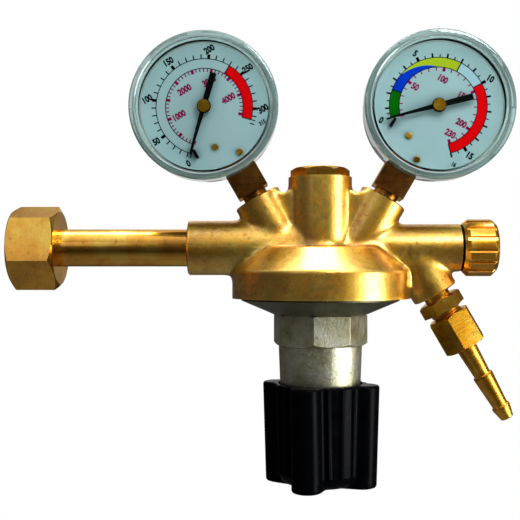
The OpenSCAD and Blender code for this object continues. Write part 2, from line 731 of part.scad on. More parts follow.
// Outline at one depth under the knob's top edge
function knob_level(h) =
    let (k = 1 - (1 - knob_draft) * h / knob_len,
         edge = max(0, knob_edge - h, h + knob_edge - knob_len),
         inset = knob_edge - sqrt(max(0, knob_edge * knob_edge - edge * edge)),
         foot = max(0, h + foot_h - knob_len) / foot_h,
         v = valley_r * k - (valley_r * k - foot_core_r) * (1 - sqrt(1 - foot * foot)))
    knob_outline((knob_r - lobe_r) * k, lobe_r - inset, v - (foot > 0 ? 0 : inset),
                 foot > 0 ? 0.01 : rib_r);

// Adjusting knob: lobed grip over the collar, its valleys curving in at the foot
module adjusting_knob() color(black) at_body() difference() {
    grip_h = knob_len - foot_h;
    levels = concat([0, 0.15, 0.5, 1] * knob_edge, [grip_h],
                    [for (f = [0.12, 0.4, 0.6, 0.75]) grip_h + foot_h * f],
                    [for (f = [1, 0.6, 0.25, 0]) knob_len - knob_edge * f]);
    rings = [for (h = levels) [for (q = knob_level(h)) [q[0], q[1], knob_top_z - h]]];
    n = len(rings[0]);
    cup = [for (z = [knob_floor_z, knob_top_z]) [for (q = rings[0]) let (a = atan2(q[1], q[0]))
        [recess_r * cos(a), recess_r * sin(a), z]]];
    shells = concat(cup, rings);
    polyhedron(
        points = [for (g = shells) each g],
        faces = concat([[for (i = [n - 1 : -1 : 0]) i]],
                       [for (g = [0 : len(shells) - 2], i = [0 : n - 1])
                           let (a = g * n + i, b = g * n + (i + 1) % n)
                           for (f = [[a, b, b + n], [a, b + n, a + n]]) f],
                       [[for (i = [0 : n - 1]) (len(shells) - 1) * n + i]]));
    translate([0, 0, screw_end_z]) cylinder(h = 30, r = screw_r + seating);
    translate([0, 0, screw_end_z]) cylinder(h = screw_hex_h + seating, r = screw_r + 2.2 + seating, $fn = 6);
}

module outlet_disc() color(brass) at_body() difference() {
    along_x(valve_seat_x + disc_washer_t) cylinder(h = disc_len, r = disc_r);
    along_x(spindle_x) cylinder(h = 3, r = spindle_nose_r + running);
}

module disc_washer() color([0.85, 0.83, 0.76]) at_body() along_x(valve_seat_x)
    cylinder(h = disc_washer_t, r = disc_r - 0.6);

module outlet_spindle() color(brass) at_body() difference() {
    shank_x = valve_seat_x + disc_washer_t + disc_len + 0.1;
    union() {
        along_x(spindle_x + 0.05) cylinder(h = 2.2, r = spindle_nose_r);
        along_x(shank_x) cylinder(h = spindle_end_x - shank_x, r = spindle_neck_r);
        along_x(spindle_thread_x) cylinder(h = spindle_thread_len, r = spindle_r);
        along_x(gland_x) cylinder(h = ring_x - gland_x - 1.5, r = spindle_land_r);
    }
    along_x(spindle_end_x - 8) cylinder(h = 9, r = knob_screw_r + seating);
}

module spindle_seal() color(black) at_body() along_x(gland_x + 3.2)
    rotate_extrude() translate([(gland_r + spindle_land_r) / 2, 0])
        circle(r = (gland_r - spindle_land_r) / 2 - 0.01, $fn = 32);

module valve_knob() color(brass) at_body() along_x(valve_knob_x) difference() {
    bevel = 2;
    intersection() {
        linear_extrude(valve_knob_len) ridged_plan();
        rotate_extrude() polygon([
            [0, 0], [valve_knob_r - bevel, 0], [valve_knob_r, bevel],
            [valve_knob_r, valve_knob_len - bevel], [valve_knob_r - bevel, valve_knob_len],
            [0, valve_knob_len]
        ]);
    }
    translate([0, 0, -1]) cylinder(h = knob_ring_t + 0.55, r = ring_r + seating);
    translate([0, 0, -1]) cylinder(h = valve_knob_len + 2, r = spindle_neck_r + seating);
    translate([0, 0, spindle_end_x - valve_knob_x]) cylinder(h = 9, r = knob_screw_r + 2.6);
}

// Round bar with flat-bottomed grooves between its ridges
module ridged_plan() {
    step = 360 / knob_ridges;
    groove = 1.1;
    polygon([for (i = [0 : knob_ridges - 1]) let (a = i * step, top = step * 0.28, foot = step * 0.36)
        for (p = [[valve_knob_r - groove, -foot], [valve_knob_r + 0.4, -top],
                  [valve_knob_r + 0.4, top], [valve_knob_r - groove, foot]])
            polar(p[0], a + p[1])]);
}

module knob_ring() color(black) at_body() along_x(ring_x)
    tube(knob_ring_t, ring_r, spindle_neck_r + seating);

module knob_screw() color(steel) at_body() {
    along_x(spindle_end_x - 7) cylinder(h = 7.1, r = knob_screw_r);
    along_x(spindle_end_x + 0.05) difference() {
        cylinder(h = 1.7, r = knob_screw_r + 2);
        translate([-5, -0.35, 0.9]) cube([10, 0.7, 2]);
    }
}

module outlet_adapter() color(brass) at_body() difference() {
    union() {
        on_outlet(outlet_boss_end - adapter_tail) cylinder(h = adapter_tail, r = adapter_tail_r);
        on_outlet(outlet_boss_end) cylinder(h = adapter_neck, r = adapter_tail_r + 0.6);
        on_outlet(hex_z) hex_bar(adapter_af, adapter_hex);
        on_outlet(hex_z + adapter_hex) cylinder(h = 1.6, r = outlet_thread_r - 0.9);
        on_outlet(hex_z + adapter_hex + 1.5)
            cylinder(h = adapter_end_z - hex_z - adapter_hex - 1.5, r = outlet_thread_r);
    }
    on_outlet(0) cylinder(h = 60, r = passage_r);
    on_outlet(adapter_end_z - cone_seat_len)
        cylinder(h = cone_seat_len + 0.01, r1 = passage_r, r2 = cone_seat_r);
}

module union_nut() color(brass) at_body() difference() {
    on_outlet(union_z) rotate([0, 0, 30]) hex_bar(union_af, union_len);
    on_outlet(union_z - 1) cylinder(h = union_seat_z - union_z + 1, r = outlet_thread_r + running);
    on_outlet(union_z - 1) cylinder(h = union_len + 2, r = barb_r + running);
}

// Hose barb: cone nose and collar inside the union nut, two ridges outside
module hose_barb() color(brass) at_body() on_outlet() difference() {
    ridge_one = union_end_z + barb_len * 0.4;
    ridge_two = union_end_z + barb_len * 0.83;
    rotate_extrude() polygon([
        [0, adapter_end_z - cone_seat_len + 0.6], [passage_r + 0.1, adapter_end_z - cone_seat_len + 0.6],
        [cone_seat_r - 0.15, barb_collar_z], [outlet_thread_r - 0.4, barb_collar_z],
        [outlet_thread_r - 0.4, barb_collar_z + barb_collar_len],
        [barb_r, barb_collar_z + barb_collar_len], [barb_r, union_end_z + 1],
        [barb_r - 0.75, ridge_one - 0.3], [barb_r, ridge_one],
        [barb_r, ridge_one + 1], [barb_r - 1, ridge_two - 0.3],
        [barb_r - 0.4, ridge_two], [barb_r - 0.4, ridge_two + 0.8],
        [barb_r - 1.5, barb_end_z - 0.3], [barb_r - 1.8, barb_end_z], [0, barb_end_z]
    ]);
    cylinder(h = barb_end_z + 1, r = barb_bore_r);
}

// Pressure tube of a gauge, a flat section bent round the pointer's axis
module bent_tube(grow = 0, from_root = 0) rotate([90, 0, 0])
    rotate([0, 0, tube_tip_dir]) rotate_extrude(angle = tube_sweep + from_root)
        translate([tube_r, tube_y]) {
            reach = (tube_depth - tube_width) / 2;
            translate([-tube_width / 2 - grow, -reach]) square([tube_width + 2 * grow, 2 * reach]);
            for (s = sides) translate([0, s * reach]) circle(r = tube_width / 2 + grow, $fn = 24);
        }

module gauge_socket(side) color(dark_brass) on_gauge(side) difference() {
    half = shank_af / 2;
    shank_z = shank_neck - gauge_rise;
    union() {
        translate([-half, -half, shank_z]) cube([shank_af, shank_af, socket_top - shank_z]);
        translate([-half, -dial_y, socket_front_z]) cube([shank_af, dial_y, socket_top - socket_front_z]);
        translate([-5, -back_plate_y, socket_top - 1]) cube([10, 5, lug_top - socket_top + 1]);
        translate([0, 0, -gauge_rise]) cylinder(h = shank_neck + 1, r = gauge_thread_r - 1.2);
        translate([0, 0, -gauge_rise - gauge_thread_len]) cylinder(h = gauge_thread_len, r = gauge_thread_r);
    }
    translate([0, 0, -gauge_rise - gauge_thread_len - 1]) cylinder(h = 36, r = 1.5);
    bent_tube(grow = seating, from_root = 0.5);
    for (s = screw_spots) round_y(dial_y - 3, dial_y + 1, dial_screw_r + seating, s);
}

module gauge_gasket(side) color([0.72, 0.38, 0.22]) at_body() on_boss(side)
    translate([0, 0, -gauge_thread_len - 1.4]) tube(1.3, gauge_thread_r - 0.3, passage_r + 0.1);

// Drawn case, open to the front, with a hole for the shank and one for the vent
module gauge_case(side) color(steel) on_gauge(side) difference() {
    bend = 2;
    rotate([90, 0, 0]) rotate_extrude($fn = 128) polygon(concat(
        [[0, -case_back]],
        arc([case_r - bend, bend - case_back], bend, -90, 0, 5),
        [[case_r, case_front_y], [case_r - case_wall, case_front_y]],
        arc([case_r - bend, bend - case_back], bend - case_wall, 0, -90, 4),
        [[0, case_wall - case_back]]));
    translate([0, 0, -case_r]) cube([shank_af + 2 * seating, shank_af + 2 * seating, 16], center = true);
    round_y(-case_back - 1, 1 - case_back + case_wall, vent_r + seating, [0, vent_z]);
}

// Clear window: face, thick rim resting on the case and a notched skirt round it
module gauge_window(side) color([0.75, 0.88, 0.85, 0.35]) on_gauge(side) difference() {
    face_y = window_front_y - 0.5;
    rim_r = dial_r + 0.8;
    rotate([90, 0, 0]) rotate_extrude($fn = 128) polygon(concat(
        [[0, face_y - window_t], [rim_r, face_y - window_t], [rim_r, case_front_y + 0.1],
         [case_r + seating, case_front_y + 0.1], [case_r + seating, window_back_y],
         [window_r, window_back_y]],
        arc([window_r - 1, window_front_y - 1], 1, 0, 90, 4),
        [[rim_r, window_front_y], [rim_r - 0.5, face_y], [0, face_y]]));
    for (k = [0 : window_notches - 1]) rotate([0, 360 * (k + 0.5) / window_notches, 0])
        translate([-3.2, -window_back_y - 2.6, case_r - 1]) cube([6.4, 3.6, 4]);
    // room for the shank
    translate([-shank_af / 2 - seating, -shank_af / 2 - seating, -window_r - 1])
        cube([shank_af + 2 * seating, shank_af, 4]);
}

// Dial plate with the bar that the pointer rests against at zero
module gauge_dial(side) color([0.86, 0.93, 0.95]) on_gauge(side) {
    flat_y(dial_y, dial_t) difference() {
        circle(r = dial_r, $fn = 128);
        circle(r = arbor_r + 0.7);
        for (s = screw_spots) translate(s) circle(r = dial_screw_r + seating);
    }
    flat_y(dial_y + dial_t / 2, pointer_y + pointer_t - dial_y) translate(stop_spot)
        square([1.2, 3.6], center = true);
}

module gauge_dial_screws(side) color(brass) on_gauge(side) for (s = screw_spots) {
    round_y(dial_y + dial_t, dial_y + dial_t + 0.8, dial_screw_r + 0.55, s);
    round_y(dial_y - 2.6, dial_y + dial_t + 0.4, dial_screw_r, s);
}

module gauge_tube(side) color([0.72, 0.5, 0.25]) on_gauge(side) {
    bent_tube();
    round_y(tube_y - tube_depth / 2, tube_y + tube_depth / 2 + 0.6, 1.7, [tip_x, tip_z]);
    round_y(tube_y, link_y + link_t + 0.4, link_pin_r, [tip_x, tip_z]);
}

// A strip between two spots in the dial's plane
module strip(a, b, w) translate(a) rotate(atan2(b[1] - a[1], b[0] - a[0]))
    translate([0, -w / 2]) square([norm(b - a), w]);

module movement_plate() {
    hub = [sector_x, sector_z];
    difference() {
        union() {
            circle(r = 3.2);
            translate(hub) circle(r = 2.6);
            for (p = pillar) translate(p) circle(r = 1.9);
            strip([0, 0], hub, 4);
            strip([0, 0], pillar[0], 3);
            strip(hub, pillar[1], 3);
            children();
        }
        circle(r = arbor_r + running);
        translate(hub) circle(r = arbor_r + running);
    }
}

// Front and back plates of the movement, held apart by two pillars
module gauge_movement(side) color(brass) on_gauge(side) {
    flat_y(back_plate_y, plate_gauge_t) movement_plate()
        translate([-4.5, socket_top + 0.4]) square([9, -socket_top - 2]);
    flat_y(plate_y, plate_gauge_t) movement_plate();
    for (p = pillar) round_y(back_plate_y, plate_y + 0.4, 1.1, p);
}

// Toothed quadrant about its own pivot
module sector_plan() {
    first = -round(dial_sweep / gear_ratio / tooth_step) - 1;
    rim_in = sector_r - 2;
    a0 = 180 + sector_dir + tooth_step * (first - 0.5);
    a1 = 180 + sector_dir + tooth_step * 1.5;
    polygon(concat(
        [for (k = [first : 1]) each tooth(gear_m, sector_teeth, 180 + sector_dir + tooth_step * k,
                                          tooth_play, 0.85, 1.15)],
        arc([0, 0], rim_in, a1, a0, 6)));
    difference() {
        union() {
            circle(r = 2.3);
            for (a = [a0 + 3, a1 - 3]) strip([0, 0], polar(rim_in + 0.4, a), 1.8);
        }
        circle(r = arbor_r * 0.5);
    }
    strip([0, 0], polar(tail_len, tail_dir), 2);
    translate(polar(tail_len, tail_dir)) circle(r = 1.3);
}

module gauge_sector(side) color(brass) on_gauge(side) {
    hub = [sector_x, sector_z];
    flat_y(sector_y, sector_t) translate(hub) sector_plan();
    round_y(back_plate_y + 0.05, plate_y + plate_gauge_t - 0.05, arbor_r, hub);
    round_y(back_plate_y + plate_gauge_t + 0.2, plate_y - 0.2, arbor_r + 0.6, hub);
    round_y(link_y - 0.4, sector_y + 0.2, link_pin_r, [tail_x, tail_z]);
}

module gauge_link(side) color(steel) on_gauge(side) flat_y(link_y, link_t) difference() {
    union() {
        strip([tail_x, tail_z], [tip_x, tip_z], 1.6);
        translate([tail_x, tail_z]) circle(r = 1.2);
        translate([tip_x, tip_z]) circle(r = 1.2);
    }
    translate([tail_x, tail_z]) circle(r = link_pin_r + running);
    translate([tip_x, tip_z]) circle(r = link_pin_r + 0.2);
}

module gauge_pinion(side) color(brass) on_gauge(side) {
    flat_y(sector_y - 0.4, sector_t + 0.8) polygon([for (k = [0 : pinion_teeth - 1])
        each tooth(gear_m, pinion_teeth, sector_dir + 360 / pinion_teeth * (k + 0.5),
                   tooth_play, 0.85, 1.15)]);
    round_y(back_plate_y + 0.05, pointer_y + pointer_t + 0.3, arbor_r, [0, 0]);
    round_y(pointer_y + pointer_t, pointer_y + pointer_t + 1, 2.6, [0, 0]);
}

module gauge_pointer(side) color(black) on_gauge(side) flat_y(pointer_y, pointer_t) rotate(90 - dial_zero)
    difference() {
        union() {
            circle(r = 3);
            polygon([[0, -1.1], [pointer_len - 1.5, -0.35], [pointer_len, 0], [pointer_len - 1.5, 0.35],
                     [0, 1.1], [-pointer_tail, 1.4], [-pointer_tail, -1.4]]);
        }
        circle(r = arbor_r + seating);
    }

module gauge_vent_plug(side) color(black) on_gauge(side) {
    round_y(-case_back - 0.9, -case_back, vent_r + 1, [0, vent_z]);
    round_y(-case_back - 0.1, 0.5 - case_back + case_wall, vent_r, [0, vent_z]);
}

// The high-pressure gauge leans left, the outlet-pressure gauge right
module high_socket() gauge_socket(-1);
module high_gasket() gauge_gasket(-1);
module high_case() gauge_case(-1);
module high_window() gauge_window(-1);
module high_dial() gauge_dial(-1);
module high_dial_screws() gauge_dial_screws(-1);
module high_tube() gauge_tube(-1);
module high_movement() gauge_movement(-1);
module high_sector() gauge_sector(-1);
module high_link() gauge_link(-1);
module high_pinion() gauge_pinion(-1);
module high_pointer() gauge_pointer(-1);
module high_vent_plug() gauge_vent_plug(-1);
module low_socket() gauge_socket(1);
module low_gasket() gauge_gasket(1);
module low_case() gauge_case(1);
module low_window() gauge_window(1);
module low_dial() gauge_dial(1);
module low_dial_screws() gauge_dial_screws(1);
module low_tube() gauge_tube(1);
module low_movement() gauge_movement(1);
module low_sector() gauge_sector(1);
module low_link() gauge_link(1);
module low_pinion() gauge_pinion(1);
module low_pointer() gauge_pointer(1);
module low_vent_plug() gauge_vent_plug(1);

body();
inlet_nut();
inlet_stem();
inlet_washer();
inlet_filter();
top_plug();
plug_seal();
valve_seat();
poppet();
poppet_seal();
poppet_spring();
push_pin();
pin_disc();
diaphragm();
diaphragm_plate();
slip_ring();
bonnet();
main_spring();
spring_button();
adjusting_screw();
adjusting_knob();
outlet_disc();
disc_washer();
outlet_spindle();
spindle_seal();
valve_knob();
knob_ring();
knob_screw();
outlet_adapter();
union_nut();
hose_barb();
high_socket();
high_gasket();
high_case();
high_window();
high_dial();
high_dial_screws();
high_tube();
high_movement();
high_sector();
high_link();
high_pinion();
high_pointer();
high_vent_plug();
low_socket();
low_gasket();
low_case();
low_window();
low_dial();
low_dial_screws();
low_tube();
low_movement();
low_sector();
low_link();
low_pinion();
low_pointer();
low_vent_plug();
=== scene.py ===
import bpy
import bmesh
import json
import math
import numpy as np
from mathutils import Matrix, Vector


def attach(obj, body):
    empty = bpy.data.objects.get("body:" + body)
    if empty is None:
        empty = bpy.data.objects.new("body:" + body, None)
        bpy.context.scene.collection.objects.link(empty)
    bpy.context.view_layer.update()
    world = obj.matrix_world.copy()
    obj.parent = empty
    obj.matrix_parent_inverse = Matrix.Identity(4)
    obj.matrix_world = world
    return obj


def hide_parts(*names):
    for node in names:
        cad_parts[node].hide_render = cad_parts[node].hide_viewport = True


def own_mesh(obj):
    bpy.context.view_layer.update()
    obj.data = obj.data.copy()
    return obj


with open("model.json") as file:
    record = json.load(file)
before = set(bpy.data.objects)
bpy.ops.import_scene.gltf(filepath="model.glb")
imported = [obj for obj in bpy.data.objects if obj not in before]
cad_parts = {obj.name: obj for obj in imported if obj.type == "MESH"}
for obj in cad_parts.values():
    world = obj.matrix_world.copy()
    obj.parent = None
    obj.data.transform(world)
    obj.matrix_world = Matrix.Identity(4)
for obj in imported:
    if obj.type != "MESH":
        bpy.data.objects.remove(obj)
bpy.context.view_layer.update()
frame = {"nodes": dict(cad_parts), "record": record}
nodes = frame["nodes"]
record = frame["record"]
bodyOf = {node: body for body, members in record["behaviour"]["bodies"].items() for node in members}
mm = 0.001
fullTurn = 2 * math.pi
weld, fineWeld = 1e-7, 1e-8  # points closer than this are merged
gaugeSides = {"high": -1, "low": 1}
print("frame loaded:", len(nodes), "nodes")

cameraSet = {"place": (115.8, -395, -9.5), "aim": (106.0, 0, -5.2), "lens": 63.7, "sensor": 36, "near": 10}


def placeCamera():
    cam = bpy.data.objects.new("camera", bpy.data.cameras.new("camera"))
    bpy.context.scene.collection.objects.link(cam)
    cam.location = Vector(cameraSet["place"]) * mm
    look = Vector(cameraSet["aim"]) * mm - cam.location
    cam.rotation_euler = look.to_track_quat("-Z", "Y").to_euler()
    cam.data.lens = cameraSet["lens"]
    cam.data.sensor_width = cameraSet["sensor"]
    cam.data.clip_start = cameraSet["near"] * mm
    bpy.context.scene.camera = cam


placeCamera()

# Places of the parts, in millimetres and degrees
axisX = 131.8  # the body's upright axis, from the inlet nut's mouth
layout = {"gaugeX": 27.2, "gaugeZ": 21.3, "gaugeTilt": 30, "gaugeRise": 43.7,
          "outletX": 37.8, "outletTurn": 150}


def bodyPlace(x=0, z=0, lean=0):
    # beside the body's axis, with its own axis leaning to the right
    return Matrix.Translation(Vector((axisX + x, 0, z)) * mm) @ Matrix.Rotation(math.radians(lean), 4, "Y")


def bossPlace(side):
    return bodyPlace(side * layout["gaugeX"], layout["gaugeZ"], side * layout["gaugeTilt"])


def dialPlace(side, depth=0):
    # x to the dial's right, y up the dial, z towards the viewer
    rise = Matrix.Translation((0, 0, layout["gaugeRise"] * mm))
    facing = Matrix.Rotation(math.pi / 2, 4, "X")
    return bossPlace(side) @ rise @ facing @ Matrix.Translation((0, 0, depth * mm))


def outletPlace(along=0):
    return bodyPlace(layout["outletX"], 0, layout["outletTurn"]) @ Matrix.Translation((0, 0, along * mm))


def turnZ(degrees):
    return Matrix.Rotation(math.radians(degrees), 4, "Z")


# Small mesh tools, all sizes in millimetres

def spun(profile, steps=96):
    # a closed outline of (radius, height) spun round Z
    bm = bmesh.new()
    verts = [bm.verts.new((r * mm, 0, h * mm)) for r, h in profile]
    edges = [bm.edges.new((verts[i - 1], verts[i])) for i in range(len(verts))]
    bmesh.ops.spin(bm, geom=verts + edges, axis=(0, 0, 1), cent=(0, 0, 0), angle=fullTurn,
                   steps=steps, use_merge=True, use_duplicate=False)
    bmesh.ops.remove_doubles(bm, verts=bm.verts[:], dist=weld)
    bmesh.ops.dissolve_degenerate(bm, edges=bm.edges[:], dist=weld)
    loose = [e for e in bm.edges if not e.link_faces]
    bmesh.ops.delete(bm, geom=loose, context="EDGES")
    bmesh.ops.recalc_face_normals(bm, faces=bm.faces[:])
    return bm


def bar(radius, low, high, sides=64):
    bm = bmesh.new()
    bmesh.ops.create_cone(bm, cap_ends=True, segments=sides, radius1=radius * mm, radius2=radius * mm,
                          depth=(high - low) * mm, matrix=Matrix.Translation((0, 0, (low + high) / 2 * mm)))
    return bm


def box(low, high):
    bm = bmesh.new()
    size = [b - a for a, b in zip(low, high)]
    middle = Vector([(a + b) / 2 for a, b in zip(low, high)]) * mm
    bmesh.ops.create_cube(bm, size=mm, matrix=Matrix.Translation(middle) @ Matrix.Diagonal((*size, 1)))
    return bm


def plate(outline, thickness):
    # a flat outline in the XZ plane, thickened evenly to the front and back
    bm = bmesh.new()
    face = bm.faces.new([bm.verts.new((x * mm, thickness / 2 * mm, z * mm)) for x, z in outline])
    made = bmesh.ops.extrude_face_region(bm, geom=[face])
    moved = [v for v in made["geom"] if isinstance(v, bmesh.types.BMVert)]
    bmesh.ops.translate(bm, verts=moved, vec=(0, -thickness * mm, 0))
    bmesh.ops.recalc_face_normals(bm, faces=bm.faces[:])
    return bm


def placed(bm, place):
    bmesh.ops.transform(bm, matrix=place, verts=bm.verts[:])
    return bm


def painted(bm, index):
    for face in bm.faces:
        face.material_index = index
    return bm


def joined(*parts):
    whole = bmesh.new()
    for part in parts:
        spare = bpy.data.meshes.new("spare")
        part.to_mesh(spare)
        whole.from_mesh(spare)
        part.free()
        bpy.data.meshes.remove(spare)
    return whole


def outward(bm):
    # doubles merged and every face turned outwards
    bmesh.ops.remove_doubles(bm, verts=bm.verts[:], dist=fineWeld)
    bmesh.ops.recalc_face_normals(bm, faces=bm.faces[:])
    return bm


def swept(bm, geom, angle, steps, rise=0):
    # turned round Z and lifted by the rise in each step
    made = bmesh.ops.spin(bm, geom=geom, axis=(0, 0, 1), cent=(0, 0, 0), dvec=(0, 0, rise * mm), angle=angle,
                          steps=steps, use_merge=False, use_duplicate=False)
    return made["geom_last"]


def softenEdges(bm, width, degrees=28, segments=2):
    limit = math.radians(degrees)
    sharp = [e for e in bm.edges if e.is_manifold and e.calc_face_angle(0) > limit]
    bmesh.ops.bevel(bm, geom=sharp, offset=width * mm, offset_type="OFFSET", affect="EDGES",
                    segments=segments, profile=0.5, material=-1, clamp_overlap=True, loop_slide=True)
    return bm


def asObject(name, bm, materials=()):
    mesh = bpy.data.meshes.new(name)
    bm.to_mesh(mesh)
    bm.free()
    for material in materials:
        mesh.materials.append(material)
    ob = bpy.data.objects.new(name, mesh)
    bpy.context.scene.collection.objects.link(ob)
    return ob


def meshOf(ob):
    bm = bmesh.new()
    bm.from_mesh(ob.data)
    return bm


def finishedMesh(ob):
    # the object's mesh with its modifiers or its text worked out
    bpy.context.view_layer.update()
    return bpy.data.meshes.new_from_object(ob.evaluated_get(bpy.context.evaluated_depsgraph_get()))


def applyModifiers(ob):
    done = finishedMesh(ob)
    ob.modifiers.clear()
    old = ob.data
    ob.data = done
    bpy.data.meshes.remove(old)


def cut(ob, tool, index=0, operation="DIFFERENCE"):
    # faces made by the tool take the piece's material of that index
    cutter = asObject("cutter", painted(tool, index), ob.data.materials)
    mod = ob.modifiers.new("cut", "BOOLEAN")
    mod.operation = operation
    mod.solver = "MANIFOLD"
    mod.object = cutter
    applyModifiers(ob)
    bpy.data.objects.remove(cutter)


def smoothShade(ob, degrees):
    ob.data.polygons.foreach_set("use_smooth", [True] * len(ob.data.polygons))
    ob.data.set_sharp_from_angle(angle=math.radians(degrees))
    # large flat faces keep their own shading beside small bevels
    even = ob.modifiers.new("evenShade", "WEIGHTED_NORMAL")
    even.keep_sharp = True


def settle(ob, node, replaces=True, degrees=32):
    # a finished piece rides its node's body and mostly stands for the node
    if degrees:
        smoothShade(ob, degrees)
    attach(ob, bodyOf[node])
    if replaces:
        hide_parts(node)
    return ob


def nodesOf(kind):
    # a node of that name, or the two gauges' nodes of that kind
    return [kind] if kind in nodes else [gauge + "_" + kind for gauge in gaugeSides]


def nodeCopy(node, flat=0.4):
    # a frame node's mesh, merged, with its flat faces whole again
    bm = meshOf(nodes[node])
    bmesh.ops.remove_doubles(bm, verts=bm.verts[:], dist=weld)
    bmesh.ops.dissolve_limit(bm, angle_limit=math.radians(flat), verts=bm.verts[:], edges=bm.edges[:])
    return bm


# Node tools, for the finishes and the world

class NodeTree:
    def __init__(self, tree):
        self.tree = tree

    def link(self, a, b):
        self.tree.links.new(a, b)

    def node(self, kind, **values):
        made = self.tree.nodes.new("ShaderNode" + kind)
        for name, value in values.items():
            setattr(made, name, value)
        return made

    def feed(self, socket, value):
        # with another socket, a number or a colour
        if isinstance(value, bpy.types.NodeSocket):
            self.link(value, socket)
        else:
            socket.default_value = (*value, 1) if isinstance(value, (tuple, list)) else value

    def maths(self, operation, a, b):
        made = self.node("Math", operation=operation)
        self.feed(made.inputs[0], a)
        self.feed(made.inputs[1], b)
        return made.outputs[0]

    def ramp(self, fac, stops):
        made = self.node("ValToRGB")
        while len(made.color_ramp.elements) < len(stops):
            made.color_ramp.elements.new(0.5)
        for element, (spot, tone) in zip(made.color_ramp.elements, stops):
            element.position = spot
            element.color = (*tone, 1) if isinstance(tone, (tuple, list)) else (tone, tone, tone, 1)
        self.link(fac, made.inputs["Fac"])
        return made.outputs["Color"]

    def mix(self, share, a, b):
        made = self.node("Mix", data_type="RGBA")
        for socket, value in ((made.inputs[0], share), (made.inputs[6], a), (made.inputs[7], b)):
            self.feed(socket, value)
        return made.outputs[2]

    def span(self, value, low, high, fromLow=0.3, fromHigh=0.7):
        made = self.node("MapRange")
        for name, number in zip(("From Min", "From Max", "To Min", "To Max"), (fromLow, fromHigh, low, high)):
            made.inputs[name].default_value = number
        self.link(value, made.inputs["Value"])
        return made.outputs["Result"]


# Finishes, from noise on Object coordinates. A pattern is its scale, detail and roughness, a depth is
# in millimetres with its strength, and stops are pairs of position and share

socketNames = {
    "colour": "Base Color", "metallic": "Metallic", "roughness": "Roughness", "normal": "Normal", "ior": "IOR",
    "coat": "Coat Weight", "coatRoughness": "Coat Roughness", "coatIor": "Coat IOR",
    "specular": "Specular IOR Level", "edgeTint": "Specular Tint", "transmission": "Transmission Weight",
}
edgeStops = [(0.86, 1.0), (0.985, 0.0)]
cloudStops = [(0.34, "deep"), (0.50, "mid"), (0.68, "light")]
lookSamples = 4


class Finish(NodeTree):
    def __init__(self, name):
        self.material = bpy.data.materials.new(name)
        self.material.use_nodes = True
        super().__init__(self.material.node_tree)
        self.shader = self.tree.nodes["Principled BSDF"]
        self.place = self.node("TexCoord").outputs["Object"]

    def mapped(self, scale, turned=(0, 0, 0)):
        # turned first, so that the scale runs along a leaning part
        vector = self.place
        for name, value in (("Rotation", [math.radians(a) for a in turned]), ("Scale", scale)):
            made = self.node("Mapping")
            made.inputs[name].default_value = value
            self.link(vector, made.inputs["Vector"])
            vector = made.outputs["Vector"]
        return vector

    def noise(self, pattern, vector=None):
        made = self.node("TexNoise")
        for name, value in zip(("Scale", "Detail", "Roughness"), pattern):
            made.inputs[name].default_value = value
        self.link(vector or self.place, made.inputs["Vector"])
        return made.outputs["Fac"]

    def bump(self, height, depth, after=None):
        made = self.node("Bump")
        made.inputs["Distance"].default_value = depth[0] * mm
        made.inputs["Strength"].default_value = depth[1]
        self.link(height, made.inputs["Height"])
        if after:
            self.link(after, made.inputs["Normal"])
        return made.outputs["Normal"]

    def clouded(self, pattern, tone):
        return self.ramp(self.noise(pattern), [(spot, tone[name]) for spot, name in cloudStops])

    def layered(self, colour, *layers):
        # each layer is its mask and its tone
        for mask, tone in layers:
            colour = self.mix(mask, colour, tone)
        return colour

    def points(self, stops):
        return self.ramp(self.node("NewGeometry").outputs["Pointiness"], stops)

    def edges(self, radius):
        # 1 close to an edge and 0 on the faces
        rounded = self.node("Bevel", samples=lookSamples)
        rounded.inputs["Radius"].default_value = radius * mm
        compare = self.node("VectorMath", operation="DOT_PRODUCT")
        self.link(rounded.outputs["Normal"], compare.inputs[0])
        self.link(self.node("NewGeometry").outputs["Normal"], compare.inputs[1])
        return self.ramp(compare.outputs["Value"], edgeStops)

    def corners(self, distance, stops):
        hidden = self.node("AmbientOcclusion", samples=lookSamples)
        hidden.inputs["Distance"].default_value = distance * mm
        return self.ramp(hidden.outputs["AO"], stops)

    def set(self, **values):
        for key, value in values.items():
            self.feed(self.shader.inputs[socketNames[key]], value)
        return self.material


# each set's darkest tone is real stain in patches, pits and lathe scoring, and painted shade where occlusion
# darkens corners
brassTones = {
    "forged": {"deep": (0.58, 0.25, 0.006), "mid": (0.85, 0.42, 0.014), "light": (0.96, 0.65, 0.085),
               "stainAndShade": (0.11, 0.042, 0.003)},
    "turned": {"deep": (0.64, 0.27, 0.006), "mid": (0.87, 0.40, 0.012), "light": (0.97, 0.64, 0.080),
               "stainAndShade": (0.20, 0.08, 0.005)},
    "dark": {"deep": (0.13, 0.045, 0.008), "mid": (0.27, 0.105, 0.018), "light": (0.45, 0.21, 0.045),
             "stainAndShade": (0.05, 0.018, 0.004)},
    "movement": {"deep": (0.52, 0.23, 0.006), "mid": (0.70, 0.33, 0.010), "light": (0.90, 0.52, 0.04),
                 "stainAndShade": (0.26, 0.11, 0.01)},
}
# the tint keeps brass its colour when seen at a low angle
brassShine = {"metallic": 1.0, "coatIor": 1.85, "edgeTint": (1.0, 0.76, 0.26)}

forgedSet = {
    "cloud": (62, 5, 0.6), "patch": (330, 6, 0.70), "grain": (1500, 4, 0.6), "specks": (2300, 3, 0.6),
    "bright": [(0.46, 0.0), (0.66, 0.6)], "dirt": [(0.30, 0.6), (0.44, 0.0)],
    "pits": [(0.32, 0.9), (0.40, 0.0)], "worn": [(0.505, 0.0), (0.54, 0.8)],
    "hollows": [(0.455, 0.75), (0.495, 0.0)],
    "patchDepth": (0.18, 0.38), "grainDepth": (0.08, 0.70), "rough": (0.48, 0.27), "coatRoughness": 0.25,
}


